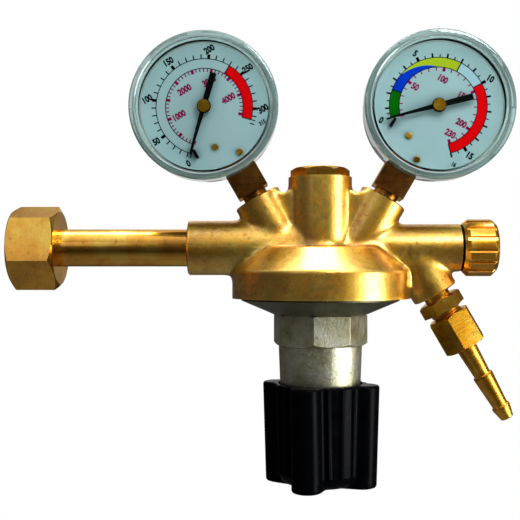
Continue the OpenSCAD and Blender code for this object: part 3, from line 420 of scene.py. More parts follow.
def forgedBrass():
    s = forgedSet
    f = Finish("forgedBrass")
    tone = brassTones["forged"]
    patch = f.noise(s["patch"])
    light, stainAndShade = tone["light"], tone["stainAndShade"]
    colour = f.layered(
        f.clouded(s["cloud"], tone), (f.ramp(patch, s["bright"]), light), (f.ramp(patch, s["dirt"]), stainAndShade),
        (f.ramp(f.noise(s["specks"]), s["pits"]), stainAndShade), (f.points(s["worn"]), light),
        # concave hollows take the darkest tone: darker in the hollows
        (f.points(s["hollows"]), stainAndShade))
    skin = f.bump(f.noise(s["grain"]), s["grainDepth"], f.bump(patch, s["patchDepth"]))
    return f.set(colour=colour, roughness=f.span(patch, *s["rough"]), normal=skin, coat=1.0,
                 coatRoughness=s["coatRoughness"], **brassShine)


turnedSet = {
    # lathe lines run round the part, so their pattern is quick along its axis
    "quick": 5200, "slow": 70, "lines": (1.0, 3, 0.6), "cloud": (70, 4, 0.6), "patch": (430, 5, 0.65),
    "dirt": [(0.28, 0.55), (0.42, 0.0)], "scored": [(0.30, 0.35), (0.50, 0.0)],
    "cornerReach": 1.5, "corners": [(0.22, 0.7), (0.55, 0.0)], "wornEdge": 0.22,
    "lineDepth": (0.012, 0.6), "patchDepth": (0.02, 0.25), "coatRoughness": 0.15,
}


def turnedBrass(name, kind="turned", fast=(0, 0, 1), turned=(0, 0, 0), rough=(0.14, 0.30), coat=0.55):
    s = turnedSet
    f = Finish(name)
    tone = brassTones[kind]
    lines = f.noise(s["lines"], f.mapped([s["quick"] if a else s["slow"] for a in fast], turned))
    patch = f.noise(s["patch"])
    stainAndShade = tone["stainAndShade"]
    colour = f.layered(
        f.clouded(s["cloud"], tone), (f.ramp(patch, s["dirt"]), stainAndShade), (f.ramp(lines, s["scored"]), stainAndShade),
        # tight corners, found by occlusion, darken to the darkest tone: painted shade
        (f.corners(s["cornerReach"], s["corners"]), stainAndShade), (f.edges(s["wornEdge"]), tone["light"]))
    skin = f.bump(patch, s["patchDepth"], f.bump(lines, s["lineDepth"]))
    return f.set(colour=colour, roughness=f.span(lines, *rough), normal=skin, coat=coat,
                 coatRoughness=s["coatRoughness"], **brassShine)


nickelSet = {
    "deep": (0.50, 0.46, 0.24), "mid": (0.78, 0.76, 0.52), "light": (0.93, 0.93, 0.80),
    "stainAndShade": (0.10, 0.09, 0.06), "paintedShadeTone": (0.13, 0.13, 0.09), "brassShow": (0.82, 0.66, 0.38),
    "lines": (1.0, 3, 0.6), "lineScale": (70, 70, 4200), "cloud": (75, 5, 0.62), "patch": (520, 5, 0.66),
    "grain": (1150, 4, 0.65), "dirt": [(0.28, 0.6), (0.42, 0.0)], "wornEdge": 0.25,
    # the darkening by occlusion over this reach is painted shade
    "cornerReach": 12, "corners": [(0.40, 0.92), (0.85, 0.0)],
    # the cone is painted dull and dark from the second height upwards: painted shade
    "paintedShadeShare": 0.86, "paintedShadeFrom": (-29.2, -28.0),
    "lineDepth": (0.014, 0.5), "patchDepth": (0.05, 0.4), "grainDepth": (0.11, 0.9), "rough": (0.50, 0.30),
}


def satinNickel():
    s = nickelSet
    f = Finish("satinNickel")
    lines = f.noise(s["lines"], f.mapped(s["lineScale"]))
    patch = f.noise(s["patch"])
    height = f.node("SeparateXYZ")
    f.link(f.place, height.inputs[0])
    # the cone's darkening by height is painted shade
    cone = f.span(height.outputs["Z"], 0.0, s["paintedShadeShare"], *[z * mm for z in s["paintedShadeFrom"]])
    colour = f.layered(
        f.clouded(s["cloud"], s), (f.ramp(patch, s["dirt"]), s["stainAndShade"]),
        # shaded places, found by occlusion, darken to the darkest tone: painted shade
        (f.corners(s["cornerReach"], s["corners"]), s["stainAndShade"]), (f.edges(s["wornEdge"]), s["brassShow"]),
        (cone, s["paintedShadeTone"]))
    skin = f.bump(patch, s["patchDepth"], f.bump(lines, s["lineDepth"]))
    skin = f.bump(f.noise(s["grain"]), s["grainDepth"], skin)
    return f.set(colour=colour, metallic=1.0, roughness=f.span(patch, *s["rough"]), normal=skin)


plainSet = {"cloud": (95, 5, 0.6), "patch": (700, 4, 0.6), "low": 0.72, "high": 1.2, "edge": 1.45,
            "wornEdge": 0.15, "depth": (0.01, 0.4)}


def plainMetal(name, tone, rough=(0.22, 0.40)):
    s = plainSet

    def shade(share):
        return [min(1, v * share) for v in tone]

    f = Finish(name)
    patch = f.noise(s["patch"])
    colour = f.ramp(f.noise(s["cloud"]), [(0.34, shade(s["low"])), (0.68, shade(s["high"]))])
    colour = f.mix(f.edges(s["wornEdge"]), colour, shade(s["edge"]))
    return f.set(colour=colour, metallic=1.0, roughness=f.span(patch, *rough), normal=f.bump(patch, s["depth"]))


mouldedSet = {"grain": (3200, 3, 0.6), "cloud": (150, 5, 0.65), "high": 1.8, "edge": 2, "wornEdge": 0.3,
              "grainDepth": (0.02, 0.4), "cloudDepth": (0.06, 0.15), "specular": 0.03}


def mouldedPlastic(name, tone, rough, worn):
    s = mouldedSet
    f = Finish(name)
    cloud = f.noise(s["cloud"])
    colour = f.ramp(cloud, [(0.34, tone), (0.70, [v * s["high"] for v in tone])])
    colour = f.mix(f.edges(s["wornEdge"]), colour, [v * s["edge"] + worn for v in tone])
    skin = f.bump(cloud, s["cloudDepth"], f.bump(f.noise(s["grain"]), s["grainDepth"]))
    return f.set(colour=colour, roughness=f.span(cloud, *rough), normal=skin, specular=s["specular"])


def evenCoat(name, pattern, low, high, rough, depth=None, **more):
    # one pattern carries the colour, the roughness and the skin
    f = Finish(name)
    grain = f.noise(pattern)
    if depth:
        more["normal"] = f.bump(grain, depth)
    return f.set(colour=f.ramp(grain, [(0.3, low), (0.7, high)]), roughness=f.span(grain, *rough), **more)


beadSet = {"scale": 3200, "stops": [(0.1, (0.62, 0.42, 0.20)), (0.8, (0.20, 0.10, 0.04))],
           "rough": (0.45, 0.7), "depth": (-0.12, 0.8)}


def sinteredBronze():
    f = Finish("sinteredBronze")
    beads = f.node("TexVoronoi")
    beads.inputs["Scale"].default_value = beadSet["scale"]
    f.link(f.place, beads.inputs["Vector"])
    size = beads.outputs["Distance"]
    return f.set(colour=f.ramp(size, beadSet["stops"]), metallic=1.0,
                 roughness=f.span(size, *beadSet["rough"]), normal=f.bump(size, beadSet["depth"]))


windowPlastics = {
    "clearPlastic": {"tints": (60, 2, 0.5), "low": (0.90, 0.965, 0.955), "high": (0.95, 0.99, 0.985),
                     "haze": 0.04, "waves": (90, 2, 0.5), "depth": (0.04, 0.12),
                     "set": {"transmission": 1.0, "specular": 0.08, "edgeTint": (0.12, 0.12, 0.12)}},
    # the cap's thick edge, cloudy with its depth
    "rimPlastic": {"tints": (130, 3, 0.5), "low": (0.36, 0.52, 0.50), "high": (0.52, 0.70, 0.68),
                   "haze": 0.06, "waves": (160, 3, 0.6), "depth": (0.25, 0.5),
                   "set": {"transmission": 0.78, "coat": 1.0, "coatRoughness": 0.03}},
    # the inner edge of the cap's rim, paler and less clear than the rim: a painted highlight line
    "edgePlastic": {"tints": (200, 3, 0.5), "low": (0.44, 0.54, 0.56), "high": (0.62, 0.72, 0.74),
                    "haze": 0.08, "set": {"transmission": 0.4, "coat": 1.0}},
}
plasticIor = 1.49
hazePattern = (500, 3, 0.5)


def windowPlastic(name):
    s = windowPlastics[name]
    f = Finish(name)
    tint = f.ramp(f.noise(s["tints"]), [(0.3, s["low"]), (0.7, s["high"])])
    if "waves" in s:
        f.set(normal=f.bump(f.noise(s["waves"]), s["depth"]))
    haze = f.span(f.noise(hazePattern), 0.0, s["haze"])
    return f.set(colour=tint, ior=plasticIor, roughness=haze, **s["set"])


dialCoatSet = {
    "specks": (2400, 3, 0.6), "tints": (90, 3, 0.5), "low": (0.285, 0.43, 0.45), "high": (0.305, 0.455, 0.475),
    # the shade tone, with its corner reach and stops, is painted shade near the case wall
    "shade": (0.14, 0.225, 0.235), "cornerReach": 4.5, "corners": [(0.55, 1.0), (0.97, 0.0)],
    "rough": (0.50, 0.62), "depth": (0.006, 0.3), "specular": 0.15,
}


def dialCoat():
    s = dialCoatSet
    f = Finish("dialCoat")
    specks = f.noise(s["specks"])
    colour = f.ramp(f.noise(s["tints"]), [(0.3, s["low"]), (0.7, s["high"])])
    # the dial darkens near the case wall by occlusion: painted shade of the rim
    colour = f.mix(f.corners(s["cornerReach"], s["corners"]), colour, s["shade"])
    return f.set(colour=colour, roughness=f.span(specks, *s["rough"]), normal=f.bump(specks, s["depth"]),
                 specular=s["specular"])


outletLean = (0, 30, 0)  # turns the outlet's axis back onto Z
finishes = {
    "forged": forgedBrass(),
    "turnedX": turnedBrass("turnedBrassX", fast=(1, 0, 0)),
    "turnedZ": turnedBrass("turnedBrassZ"),
    "drawn": turnedBrass("drawnBrass", fast=(0, 1, 1), rough=(0.16, 0.26)),
    "knobBrass": turnedBrass("knobBrass", fast=(1, 0, 0), rough=(0.26, 0.40)),
    "turnedOutlet": turnedBrass("turnedBrassOutlet", turned=outletLean, rough=(0.26, 0.40), coat=0.4),
    "movement": turnedBrass("movementBrass", "movement", (0, 1, 0), coat=0.0),
    "dark": turnedBrass("darkBrass", "dark", rough=(0.24, 0.42), coat=0.0),
    "nickel": satinNickel(),
    "steel": plainMetal("plainSteel", (0.55, 0.56, 0.57)),
    "caseSteel": plainMetal("caseSteel", (0.46, 0.52, 0.47), (0.30, 0.46)),
    "springSteel": plainMetal("springSteel", (0.34, 0.35, 0.37), (0.28, 0.42)),
    "copper": plainMetal("sealCopper", (0.72, 0.34, 0.17)),
    "tubeBronze": plainMetal("tubeBronze", (0.66, 0.40, 0.16)),
    "bronze": sinteredBronze(),
    "plastic": mouldedPlastic("knobPlastic", (0.0010, 0.0012, 0.0018), (0.24, 0.36), 0.002),
    "rubber": evenCoat("sealRubber", (2200, 4, 0.6), 0.012, 0.04, (0.6, 0.8), (0.03, 0.4)),
    "sealPlastic": evenCoat("sealPlastic", (400, 4, 0.6), (0.74, 0.71, 0.62), (0.88, 0.86, 0.80),
                            (0.40, 0.55), (0.02, 0.3)),
    "clear": windowPlastic("clearPlastic"),
    "rim": windowPlastic("rimPlastic"),
    "rimEdge": windowPlastic("edgePlastic"),
    "dial": dialCoat(),
    "pointer": mouldedPlastic("pointerCoat", (0.0008, 0.0014, 0.0014), (0.50, 0.64), 0.001),
}
inkTones = {
    "black": (0.003, 0.004, 0.005), "magenta": (0.24, 0.003, 0.07), "red": (0.70, 0.001, 0.003),
    "green": (0.002, 0.12, 0.002), "blue": (0.002, 0.035, 0.50), "yellow": (0.38, 0.50, 0.016),
    "pale": (0.34, 0.54, 0.61), "gold": (0.30, 0.20, 0.04),
}
inkSet = {"pattern": (3000, 3, 0.6), "rough": (0.55, 0.70), "specular": 0.0}
inks = {name: evenCoat(name + "Ink", low=[v * 0.85 for v in tone], high=tone, **inkSet)
        for name, tone in inkTones.items()}
print("finishes made:", len(finishes) + len(inks))

# The forged body: rough shapes melted into one blank, hollows filled to soft fillets, then machined
forging = {
    "flangeR": 37.7, "flangeLow": -21.6, "bandTop": -9.9, "ledgeR": 25.9,
    "hubR": 13.6, "hubDepth": 26.4, "hubLow": -8, "hubTop": 30.1,
    "leftEnd": 56.4, "leftR": 11.7, "rightEnd": 59.6, "rightR": 10.15,
    "bossR": 10.3, "bossDepth": 24.6, "outletR": 9.9, "outletEnd": 22.5,
    # the webs' outlines, as x and z from the body's axis
    "webDepth": 15, "outletWeb": [(29.8, 0), (29.8, -18.6), (40.1, -16.9), (47.5, -16.9), (37.8, 0)],
    "gaugeWeb": [(0, 0), (0, 24.4), (13.2, 24.4), (15, 23.2), (19.6, 23.9), (27.2, 4), (27.2, 0)],
    "extra": 2, "voxel": 0.65,
    # passes over the blank and the share of its way that a point goes in each
    "fillPasses": 30, "fillShare": 0.6, "softPasses": 1, "softShare": 0.5, "freshNormals": 10,
    # the cutters of the ends: chamfer, lip over it, height, and reach at each end
    "chamfer": 0.5, "lip": 0.7, "cutterHeight": 12, "armReach": 16, "outletReach": 14, "bossReach": 12,
    "hubCutter": (20, 5), "flangeCutter": (39, 5),
}
boreSet = {
    # place, radius, and low and high end along the place's own axis
    "stemThread": ("left", 7.45, -13.5, 1), "inlet": ("left", 2.5, -56.4, 0),
    "chamber": ("upright", 6.5, -5, 31.1), "plugThread": ("upright", 8.65, 19.1, 31.2),
    "plugSeal": ("upright", 9.65, 28.8, 31.3), "pushPin": ("upright", 3.2, -11.5, -3),
    "dish": ("upright", 27, -14, -10.5), "bonnetThread": ("upright", 33.2, -23, -13.5),
    "seatPassage": ("seat", 2.2, -1, 7), "dishPassage": ("slant", 2.2, 0, 18),
    "valveChamber": ("right", 5.95, 31, 42), "spindle": ("right", 5.01, 30.9, 71),
    "gland": ("right", 6.51, 50, 90),
    "outletPassage": ("outlet", 2.2, 0, 40), "adapterTail": ("outlet", 5.05, 12, 52),
}
gaugeBores = {"thread": (6.55, -11.5, 1.5), "portR": 2.2, "portTop": 0.1,
              "portLength": {"high": 24.6, "low": 40.18}}


def roughForging():
    f = forging
    low, wide = f["flangeLow"] - f["extra"], f["flangeR"]
    hub = bar(f["hubR"], f["hubLow"], f["hubTop"] + f["extra"], 96)
    flat = f["hubDepth"] / 2 * mm
    for v in hub.verts:
        v.co.y = max(-flat, min(flat, v.co.y))
    parts = [
        placed(spun([(0, low), (wide, low), (wide, f["bandTop"]), (f["ledgeR"], 0), (0, 0)], 160), bodyPlace()),
        placed(hub, bodyPlace()),
        placed(bar(f["leftR"], 0, f["leftEnd"] + f["extra"]), bodyPlace(lean=-90)),
        placed(bar(f["rightR"], 0, f["rightEnd"] + f["extra"]), bodyPlace(lean=90)),
        placed(bar(f["outletR"], 0, f["outletEnd"] + f["extra"]), outletPlace()),
        placed(plate(f["outletWeb"], f["webDepth"]), bodyPlace()),
    ]
    for side in gaugeSides.values():
        parts.append(placed(bar(f["bossR"], -f["bossDepth"], f["extra"]), bossPlace(side)))
        parts.append(placed(plate([(side * x, z) for x, z in f["gaugeWeb"]], f["webDepth"]), bodyPlace()))
    ob = asObject("forgedBody", joined(*parts), [finishes["forged"], finishes["turnedX"], finishes["turnedZ"]])
    melt = ob.modifiers.new("melt", "REMESH")
    melt.mode = "VOXEL"
    melt.voxel_size = f["voxel"] * mm
    applyModifiers(ob)
    return ob


def fillHollows(ob):
    # points in a hollow rise along their normals; the last passes round the edges a little
    f = forging
    mesh = ob.data
    count = len(mesh.vertices)
    spots = np.empty(count * 3)
    mesh.vertices.foreach_get("co", spots)
    spots = spots.reshape(-1, 3)
    ends = np.empty(len(mesh.edges) * 2, dtype=int)
    mesh.edges.foreach_get("vertices", ends)
    a, b = ends.reshape(-1, 2).T
    degree = np.bincount(a, minlength=count) + np.bincount(b, minlength=count)
    normals = np.empty(count * 3)
    for step in range(f["fillPasses"] + f["softPasses"]):
        if step % f["freshNormals"] == 0 or step == f["fillPasses"]:
            mesh.vertices.foreach_set("co", spots.ravel())
            mesh.update()
            mesh.vertex_normals.foreach_get("vector", normals)
            up = normals.reshape(-1, 3)
        mean = np.stack([np.bincount(a, spots[b, k], count) + np.bincount(b, spots[a, k], count)
                         for k in range(3)], 1) / degree[:, None]
        shift = mean - spots
        if step < f["fillPasses"]:
            rise = np.maximum(0, (shift * up).sum(1))
            spots += f["fillShare"] * rise[:, None] * up
        else:
            spots += f["softShare"] * shift
    mesh.vertices.foreach_set("co", spots.ravel())
    mesh.update()


def endCutter(radius, reach):
    # faces an end flat and chamfers its rim
    chamfer, lip, height = forging["chamfer"], forging["lip"], forging["cutterHeight"]
    return spun([(0, 0), (radius - chamfer, 0), (radius + lip, -lip - chamfer), (reach, -lip - chamfer),
                 (reach, height), (0, height)], 64)


def makeForgedBody():
    f = forging
    ob = roughForging()
    fillHollows(ob)
    places = {"left": bodyPlace(-f["leftEnd"], 0, -90), "right": bodyPlace(lean=90), "upright": bodyPlace(),
              "seat": bodyPlace(31, 0, -90), "slant": bodyPlace(25, 0, 205), "outlet": outletPlace()}
    cut(ob, placed(endCutter(f["leftR"], f["armReach"]), places["left"]), 1)
    cut(ob, placed(endCutter(f["rightR"], f["armReach"]), bodyPlace(f["rightEnd"], 0, 90)), 1)
    cut(ob, placed(endCutter(f["outletR"], f["outletReach"]), outletPlace(f["outletEnd"])), 2)
    radius, height = f["hubCutter"]
    cut(ob, placed(bar(radius, f["hubTop"], f["hubTop"] + height), bodyPlace()), 2)
    radius, height = f["flangeCutter"]
    cut(ob, placed(bar(radius, f["flangeLow"] - height, f["flangeLow"], 128), bodyPlace()), 2)
    bores = [(places[place], *sizes) for place, *sizes in boreSet.values()]
    for gauge, side in gaugeSides.items():
        boss = bossPlace(side)
        cut(ob, placed(endCutter(f["bossR"], f["bossReach"]), boss), 2)
        bores.append((boss, *gaugeBores["thread"]))
        bores.append((boss, gaugeBores["portR"], -gaugeBores["portLength"][gauge], gaugeBores["portTop"]))
    for place, radius, low, high in bores:
        cut(ob, placed(bar(radius, low, high), place), 1)
    return settle(ob, "body", degrees=40)


makeForgedBody()
print("forged body made")

# Pieces the frame already shapes: each one's finish and the width of its broken edges
dressSet = {
    "inlet_stem": ("drawn", 0.25), "top_plug": ("turnedZ", 0.2), "bonnet": ("nickel", 0.25),
    "adjusting_knob": ("plastic", 0), "adjusting_screw": ("steel", 0.15), "valve_knob": ("knobBrass", 0.2),
    "knob_ring": ("plastic", 0.15), "knob_screw": ("steel", 0.1), "union_nut": ("turnedOutlet", 0.15),
    "hose_barb": ("turnedOutlet", 0.12),
    "socket": ("dark", 0.3), "case": ("caseSteel", 0.1), "dial_screws": ("movement", 0.12),
    "vent_plug": ("rubber", 0.15), "pointer": ("pointer", 0.06), "pinion": ("movement", 0),
}
unionTurn = 13  # the union nut stands a little turned on its thread


def dress(node, kind):
    finish, width = dressSet[kind]
    bm = nodeCopy(node)
    if kind == "union_nut":
        placed(bm, outletPlace() @ turnZ(unionTurn) @ outletPlace().inverted())
    if width:
        softenEdges(bm, width)
    ob = asObject("dressed_" + node, bm, [finishes[finish]])
    return settle(ob, node)


for kind in dressSet:
    for node in nodesOf(kind):
        dress(node, kind)
print("outer pieces dressed")


# Threads and hexagons

def helix(inner, outer, pitch, turns, crest, root, perTurn=48):
    # a ridge swept along a helix, from the outer radius to the inner one or the other way round
    bm = bmesh.new()
    ridge = [(outer, -root / 2), (inner, -crest / 2), (inner, crest / 2), (outer, root / 2)]
    face = bm.faces.new([bm.verts.new((r * mm, 0, h * mm)) for r, h in ridge])
    geom = [face] + face.edges[:] + face.verts[:]
    swept(bm, geom, fullTurn * turns, round(perTurn * turns), pitch / perTurn)
    return outward(bm)


hexSet = {"faceShare": 0.97, "slope": 30, "spare": 1, "over": 0.01}  # turned face, its slope, and overlaps


def hexBar(name, flats, low, high, materials=(), topChamfer=True):
    # a hexagon bar with its corners turned off
    corner = flats / math.cos(math.pi / 6)
    reach = corner + hexSet["spare"]
    face = flats * hexSet["faceShare"]
    fall = (reach - face) * math.tan(math.radians(hexSet["slope"]))
    bottom, top = low - hexSet["over"], high + hexSet["over"]
    upper = [(reach, high - fall), (face, top)] if topChamfer else [(reach, top)]
    ob = asObject(name, bar(corner, low, high, 6), materials)
    cut(ob, spun([(0, bottom), (face, bottom), (reach, low + fall), *upper, (0, top)]), 0, "INTERSECT")
    return ob


inletNutSet = {
    "flats": 16, "length": 20, "turn": 18, "boreR": 8.06, "reliefR": 13.2, "seat": 14.3, "past": 1,
    "minorR": 12.06, "majorR": 13.15, "pitch": 1.814, "threadLength": 9.5, "threadStart": 1.0, "turns": 4.7,
    "crest": 0.25, "rootShare": 0.92, "rootSink": 0.15, "leadOut": 1.5, "leadIn": 0.6, "leadDepth": 1.2,
}


def makeInletNut():
    n = inletNutSet
    past, root = n["past"], n["pitch"] * n["rootShare"]
    ob = hexBar("inletNut", n["flats"], 0, n["length"], [finishes["turnedX"]])
    cut(ob, bar(n["boreR"], -past, n["length"] + past))
    cut(ob, bar(n["majorR"], -past, n["threadLength"] + past, 96))
    cut(ob, bar(n["reliefR"], n["threadLength"], n["seat"], 96))
    cut(ob, spun([(0, -past), (n["majorR"] + n["leadOut"], -past), (n["majorR"] - n["leadIn"], n["leadDepth"]),
                  (0, n["leadDepth"])]))
    ridge = helix(n["minorR"], n["majorR"] + n["rootSink"], n["pitch"], n["turns"], n["crest"], root)
    cut(ob, placed(ridge, Matrix.Translation((0, 0, n["threadStart"] * mm))), 0, "UNION")
    bm = placed(meshOf(ob), Matrix.Rotation(math.pi / 2, 4, "Y") @ turnZ(n["turn"]))
    bm.to_mesh(ob.data)
    bm.free()
    return settle(ob, "inlet_nut", degrees=28)


makeInletNut()

adapterSet = {
    "threadR": 6.55, "rootR": 5.75, "pitch": 1.337, "threadLow": 31.1, "turns": 6.2, "crest": 0.15,
    "rootShare": 0.96, "past": 0.12, "hexFlats": 8.27, "hexLow": 25.0, "hexHigh": 30.5, "hexTurn": 30,
}


def makeAdapter():
    a = adapterSet
    ob = asObject("outletAdapter", nodeCopy("outlet_adapter"), [finishes["turnedOutlet"]])
    # its hexagon again, with corners left full towards the nut
    hexagon = hexBar("adapterHexagon", a["hexFlats"], a["hexLow"], a["hexHigh"], topChamfer=False)
    bm = placed(meshOf(hexagon), outletPlace() @ turnZ(a["hexTurn"]))
    bpy.data.objects.remove(hexagon)
    cut(ob, bm, 0, "UNION")
    root = a["pitch"] * a["rootShare"]
    groove = helix(a["rootR"], a["threadR"] + a["past"], a["pitch"], a["turns"], a["crest"], root)
    cut(ob, placed(groove, outletPlace(a["threadLow"])))
    return settle(ob, "outlet_adapter", degrees=28)


makeAdapter()

springSet = {
    "main_spring": {"r": 11, "wire": 3.6, "low": -50.7, "close": 4.1, "open": 5.85, "turns": 6, "sides": 16},
    "poppet_spring": {"r": 3.65, "wire": 0.9, "low": 6.55, "close": 1.4, "open": 1.84, "turns": 7, "sides": 12},
}
coilSteps = 40  # in a turn


def makeSpring(node):
    # a closed turn at each end, all of one wire
    s = springSet[node]
    bm = bmesh.new()
    start = Matrix.Translation((s["r"] * mm, 0, 0)) @ Matrix.Rotation(math.pi / 2, 4, "X")
    bmesh.ops.create_circle(bm, cap_ends=True, segments=s["sides"], radius=s["wire"] / 2 * mm, matrix=start)
    geom = bm.verts[:] + bm.edges[:] + bm.faces[:]
    for turns, pitch in ((1, s["close"]), (s["turns"] - 2, s["open"]), (1, s["close"])):
        geom = swept(bm, geom, fullTurn * turns, coilSteps * turns, pitch / coilSteps)
    ob = asObject("coiled_" + node, placed(outward(bm), bodyPlace(0, s["low"])), [finishes["springSteel"]])
    return settle(ob, node, degrees=50)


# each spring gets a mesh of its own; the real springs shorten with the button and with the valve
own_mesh(makeSpring("main_spring"))
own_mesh(makeSpring("poppet_spring"))
print("nut, adapter and springs made")

# Gauge windows: a moulded clear face and its thick rim with notches round the skirt
windowSet = {
    "face": [(0, 13.5), (27.2, 13.5), (28.3, 12.95), (28.3, 15.3), (0, 15.3)],
    "rim": [(28.3, 15.3), (28.3, 12.95), (28.4, 12.9), (28.4, 9.1), (30.05, 9.1), (30.05, 4.8), (31.2, 4.8),
            (31.2, 14.4), (31.0, 15.1), (30.6, 15.6), (30.0, 15.8), (28.9, 15.8)],
    "notches": 8, "notchWidth": 6.4, "notchR": (29, 33), "notchHeight": (3.8, 7.4),
    "shankWidth": 14.1, "shankR": (-33, -29), "shankHeight": (-8, 7.05),
    "edgeTop": 15.2, "edgeR": 28.85,  # the edge with the painted highlight lies above and inside these
}


def slotTool(width, reach, height):
    return box((-width / 2, reach[0], height[0]), (width / 2, reach[1], height[1]))


def makeWindow(gauge, side):
    w = windowSet
    rim = asObject(gauge + "WindowRim", spun(w["rim"], 144), [finishes["rim"], finishes["rimEdge"]])
    for k in range(w["notches"]):
        notch = slotTool(w["notchWidth"], w["notchR"], w["notchHeight"])
        cut(rim, placed(notch, Matrix.Rotation(fullTurn * (k + 0.5) / w["notches"], 4, "Z")))
    cut(rim, slotTool(w["shankWidth"], w["shankR"], w["shankHeight"]))
    bm = meshOf(rim)
    for face in bm.faces:
        spot = face.calc_center_median()
        # faces of the inner top edge take the paler plastic: a painted highlight
        face.material_index = int(spot.z > w["edgeTop"] * mm and spot.xy.length < w["edgeR"] * mm)
    placed(bm, dialPlace(side))
    bm.to_mesh(rim.data)
    bm.free()
    settle(rim, gauge + "_window", replaces=False, degrees=24)
    ob = asObject(gauge + "Window", placed(spun(w["face"], 144), dialPlace(side)), [finishes["clear"]])
    settle(ob, gauge + "_window", degrees=24)
    # clear plastic lets the light through to the dial
    rim.visible_shadow = False
    ob.visible_shadow = False


# Printed scales: thin inked shapes on the dial's face, angles clockwise from its top
scaleSet = {
    "face": 8.3, "stopRise": 0.1, "sink": 0.002, "outerR": 20.4, "innerR": 16.35, "line": 0.34, "zoneLine": 1.4,
    # length and width of the marks outside the outer circle and inside the inner one
    "bigTick": (1.9, 1.25), "wholeTick": 1.9, "fineTick": (1.3, 0.46), "endLine": 0.42,
    "innerBigTick": (1.75, 1.25), "innerTick": (1.5, 0.46),
    "goldRing": (27.05, 27.25, 0.02), "bandStep": 1.5, "thin": 0.02,
    "digits": {"height": 2.6, "share": 0.70, "narrow": 0.80, "bold": 0.075, "curve": 4},
    "ink": {"zone": 0.015, "outline": 0.03, "mark": 0.028},
    # labels are text, value and radius, the end label smaller
    "high": {
        "start": 225.5, "linearFrom": 10, "offset": 220.6, "perBar": 0.872, "top": 315,
        "labels": [("0", 0, 24.8), ("50", 50, 24.9), ("100", 100, 24.4), ("150", 150, 24.4), ("200", 200, 24.4),
                   ("250", 250, 24.4), ("300", 300, 24.8)],
        "endLabel": ("315", 315, 25.4, 1.7),
        "innerLabels": [("1000", 1000, 11.3), ("2000", 2000, 11.0), ("3000", 3000, 11.0), ("4000", 4000, 10.8)],
        "step": 10, "big": 50, "wholeWidth": 0.50, "innerStep": 100, "innerBig": 500, "innerTop": 4500,
        "zones": [("red", 230, 315)], "zoneEnds": [230, 315],
    },
    "low": {
        "start": 226.0, "linearFrom": 1, "offset": 220.5, "perBar": 17.19, "top": 16,
        "labels": [("0", 0, 24.6), ("5", 5, 24.0), ("10", 10, 24.4), ("15", 15, 24.6)],
        "endLabel": ("16", 16, 25.4, 1.7),
        "innerLabels": [("50", 50, 12.6), ("100", 100, 11.4), ("150", 150, 10.9), ("200", 200, 12.0),
                        ("230", 225, 12.7)],
        "step": 0.5, "big": 5, "wholeWidth": 0.78, "innerStep": 10, "innerBig": 50, "innerTop": 230,
        # the blue and yellow zones share a slanting edge
        "zones": [("green", 0, 2.3), ("blue", 2.3, 6.5), ("yellow", 3.4, 8), ("pale", 8, 10), ("red", 10, 16)],
        "slant": (3.4, 6.5), "zoneEnds": [0, 2.3, 8, 10, 16],
    },
}
psiPerBar = 14.504


def makeDial(gauge):
    # the stop bar stands above the printed face and is black
    bm = nodeCopy(gauge + "_dial")
    bmesh.ops.recalc_face_normals(bm, faces=bm.faces[:])
    level = (scaleSet["face"] + scaleSet["stopRise"]) * mm
    for face in bm.faces:
        face.material_index = int(-face.calc_center_median().y > level)
    ob = asObject(gauge + "Dial", bm, [finishes["dial"], finishes["pointer"]])
    return settle(ob, gauge + "_dial")


def dialAngle(scale, value):
    # even from linearFrom on, closer or wider below it
    if value >= scale["linearFrom"]:
        return scale["offset"] + scale["perBar"] * value
    first = scale["offset"] + scale["perBar"] * scale["linearFrom"]
    return scale["start"] + (first - scale["start"]) * value / scale["linearFrom"]


def inkMark(r0, r1, width, degrees, thick):
    # a straight stroke from one radius to another
    return placed(box((-width / 2, r0, 0), (width / 2, r1, thick)), turnZ(-degrees))


def inkBand(edge, a0, a1, thick):
    # a band whose inner and outer radius are edge(angle)
    bm = bmesh.new()
    steps = max(4, round((a1 - a0) / scaleSet["bandStep"]))
    r0, r1 = edge(a0)
    corners = [bm.verts.new((0, r * mm, h * mm)) for r, h in ((r0, 0), (r0, thick), (r1, thick), (r1, 0))]
    face = bm.faces.new(corners)
    swept(bm, [face] + face.edges[:] + face.verts[:], -math.radians(a1 - a0), steps)
    bmesh.ops.remove_doubles(bm, verts=bm.verts[:], dist=fineWeld)
    middle = (r0 + r1) / 2 * mm
    for v in bm.verts:
        # each section is set to its own radii
        along = a0 + math.degrees(math.atan2(v.co.x, v.co.y)) % 360
        inner, outer = edge(min(a1, along) if along < a1 + 1 else a0)
        radius = (inner if v.co.xy.length < middle else outer) * mm
        v.co.xy = v.co.xy.normalized() * radius
    bmesh.ops.rotate(bm, verts=bm.verts[:], cent=(0, 0, 0), matrix=Matrix.Rotation(-math.radians(a0), 3, "Z"))
    bmesh.ops.recalc_face_normals(bm, faces=bm.faces[:])
    return bm


def ring(r0, r1, a0, a1, thick):
    return inkBand(lambda a: (r0, r1), a0, a1, thick)


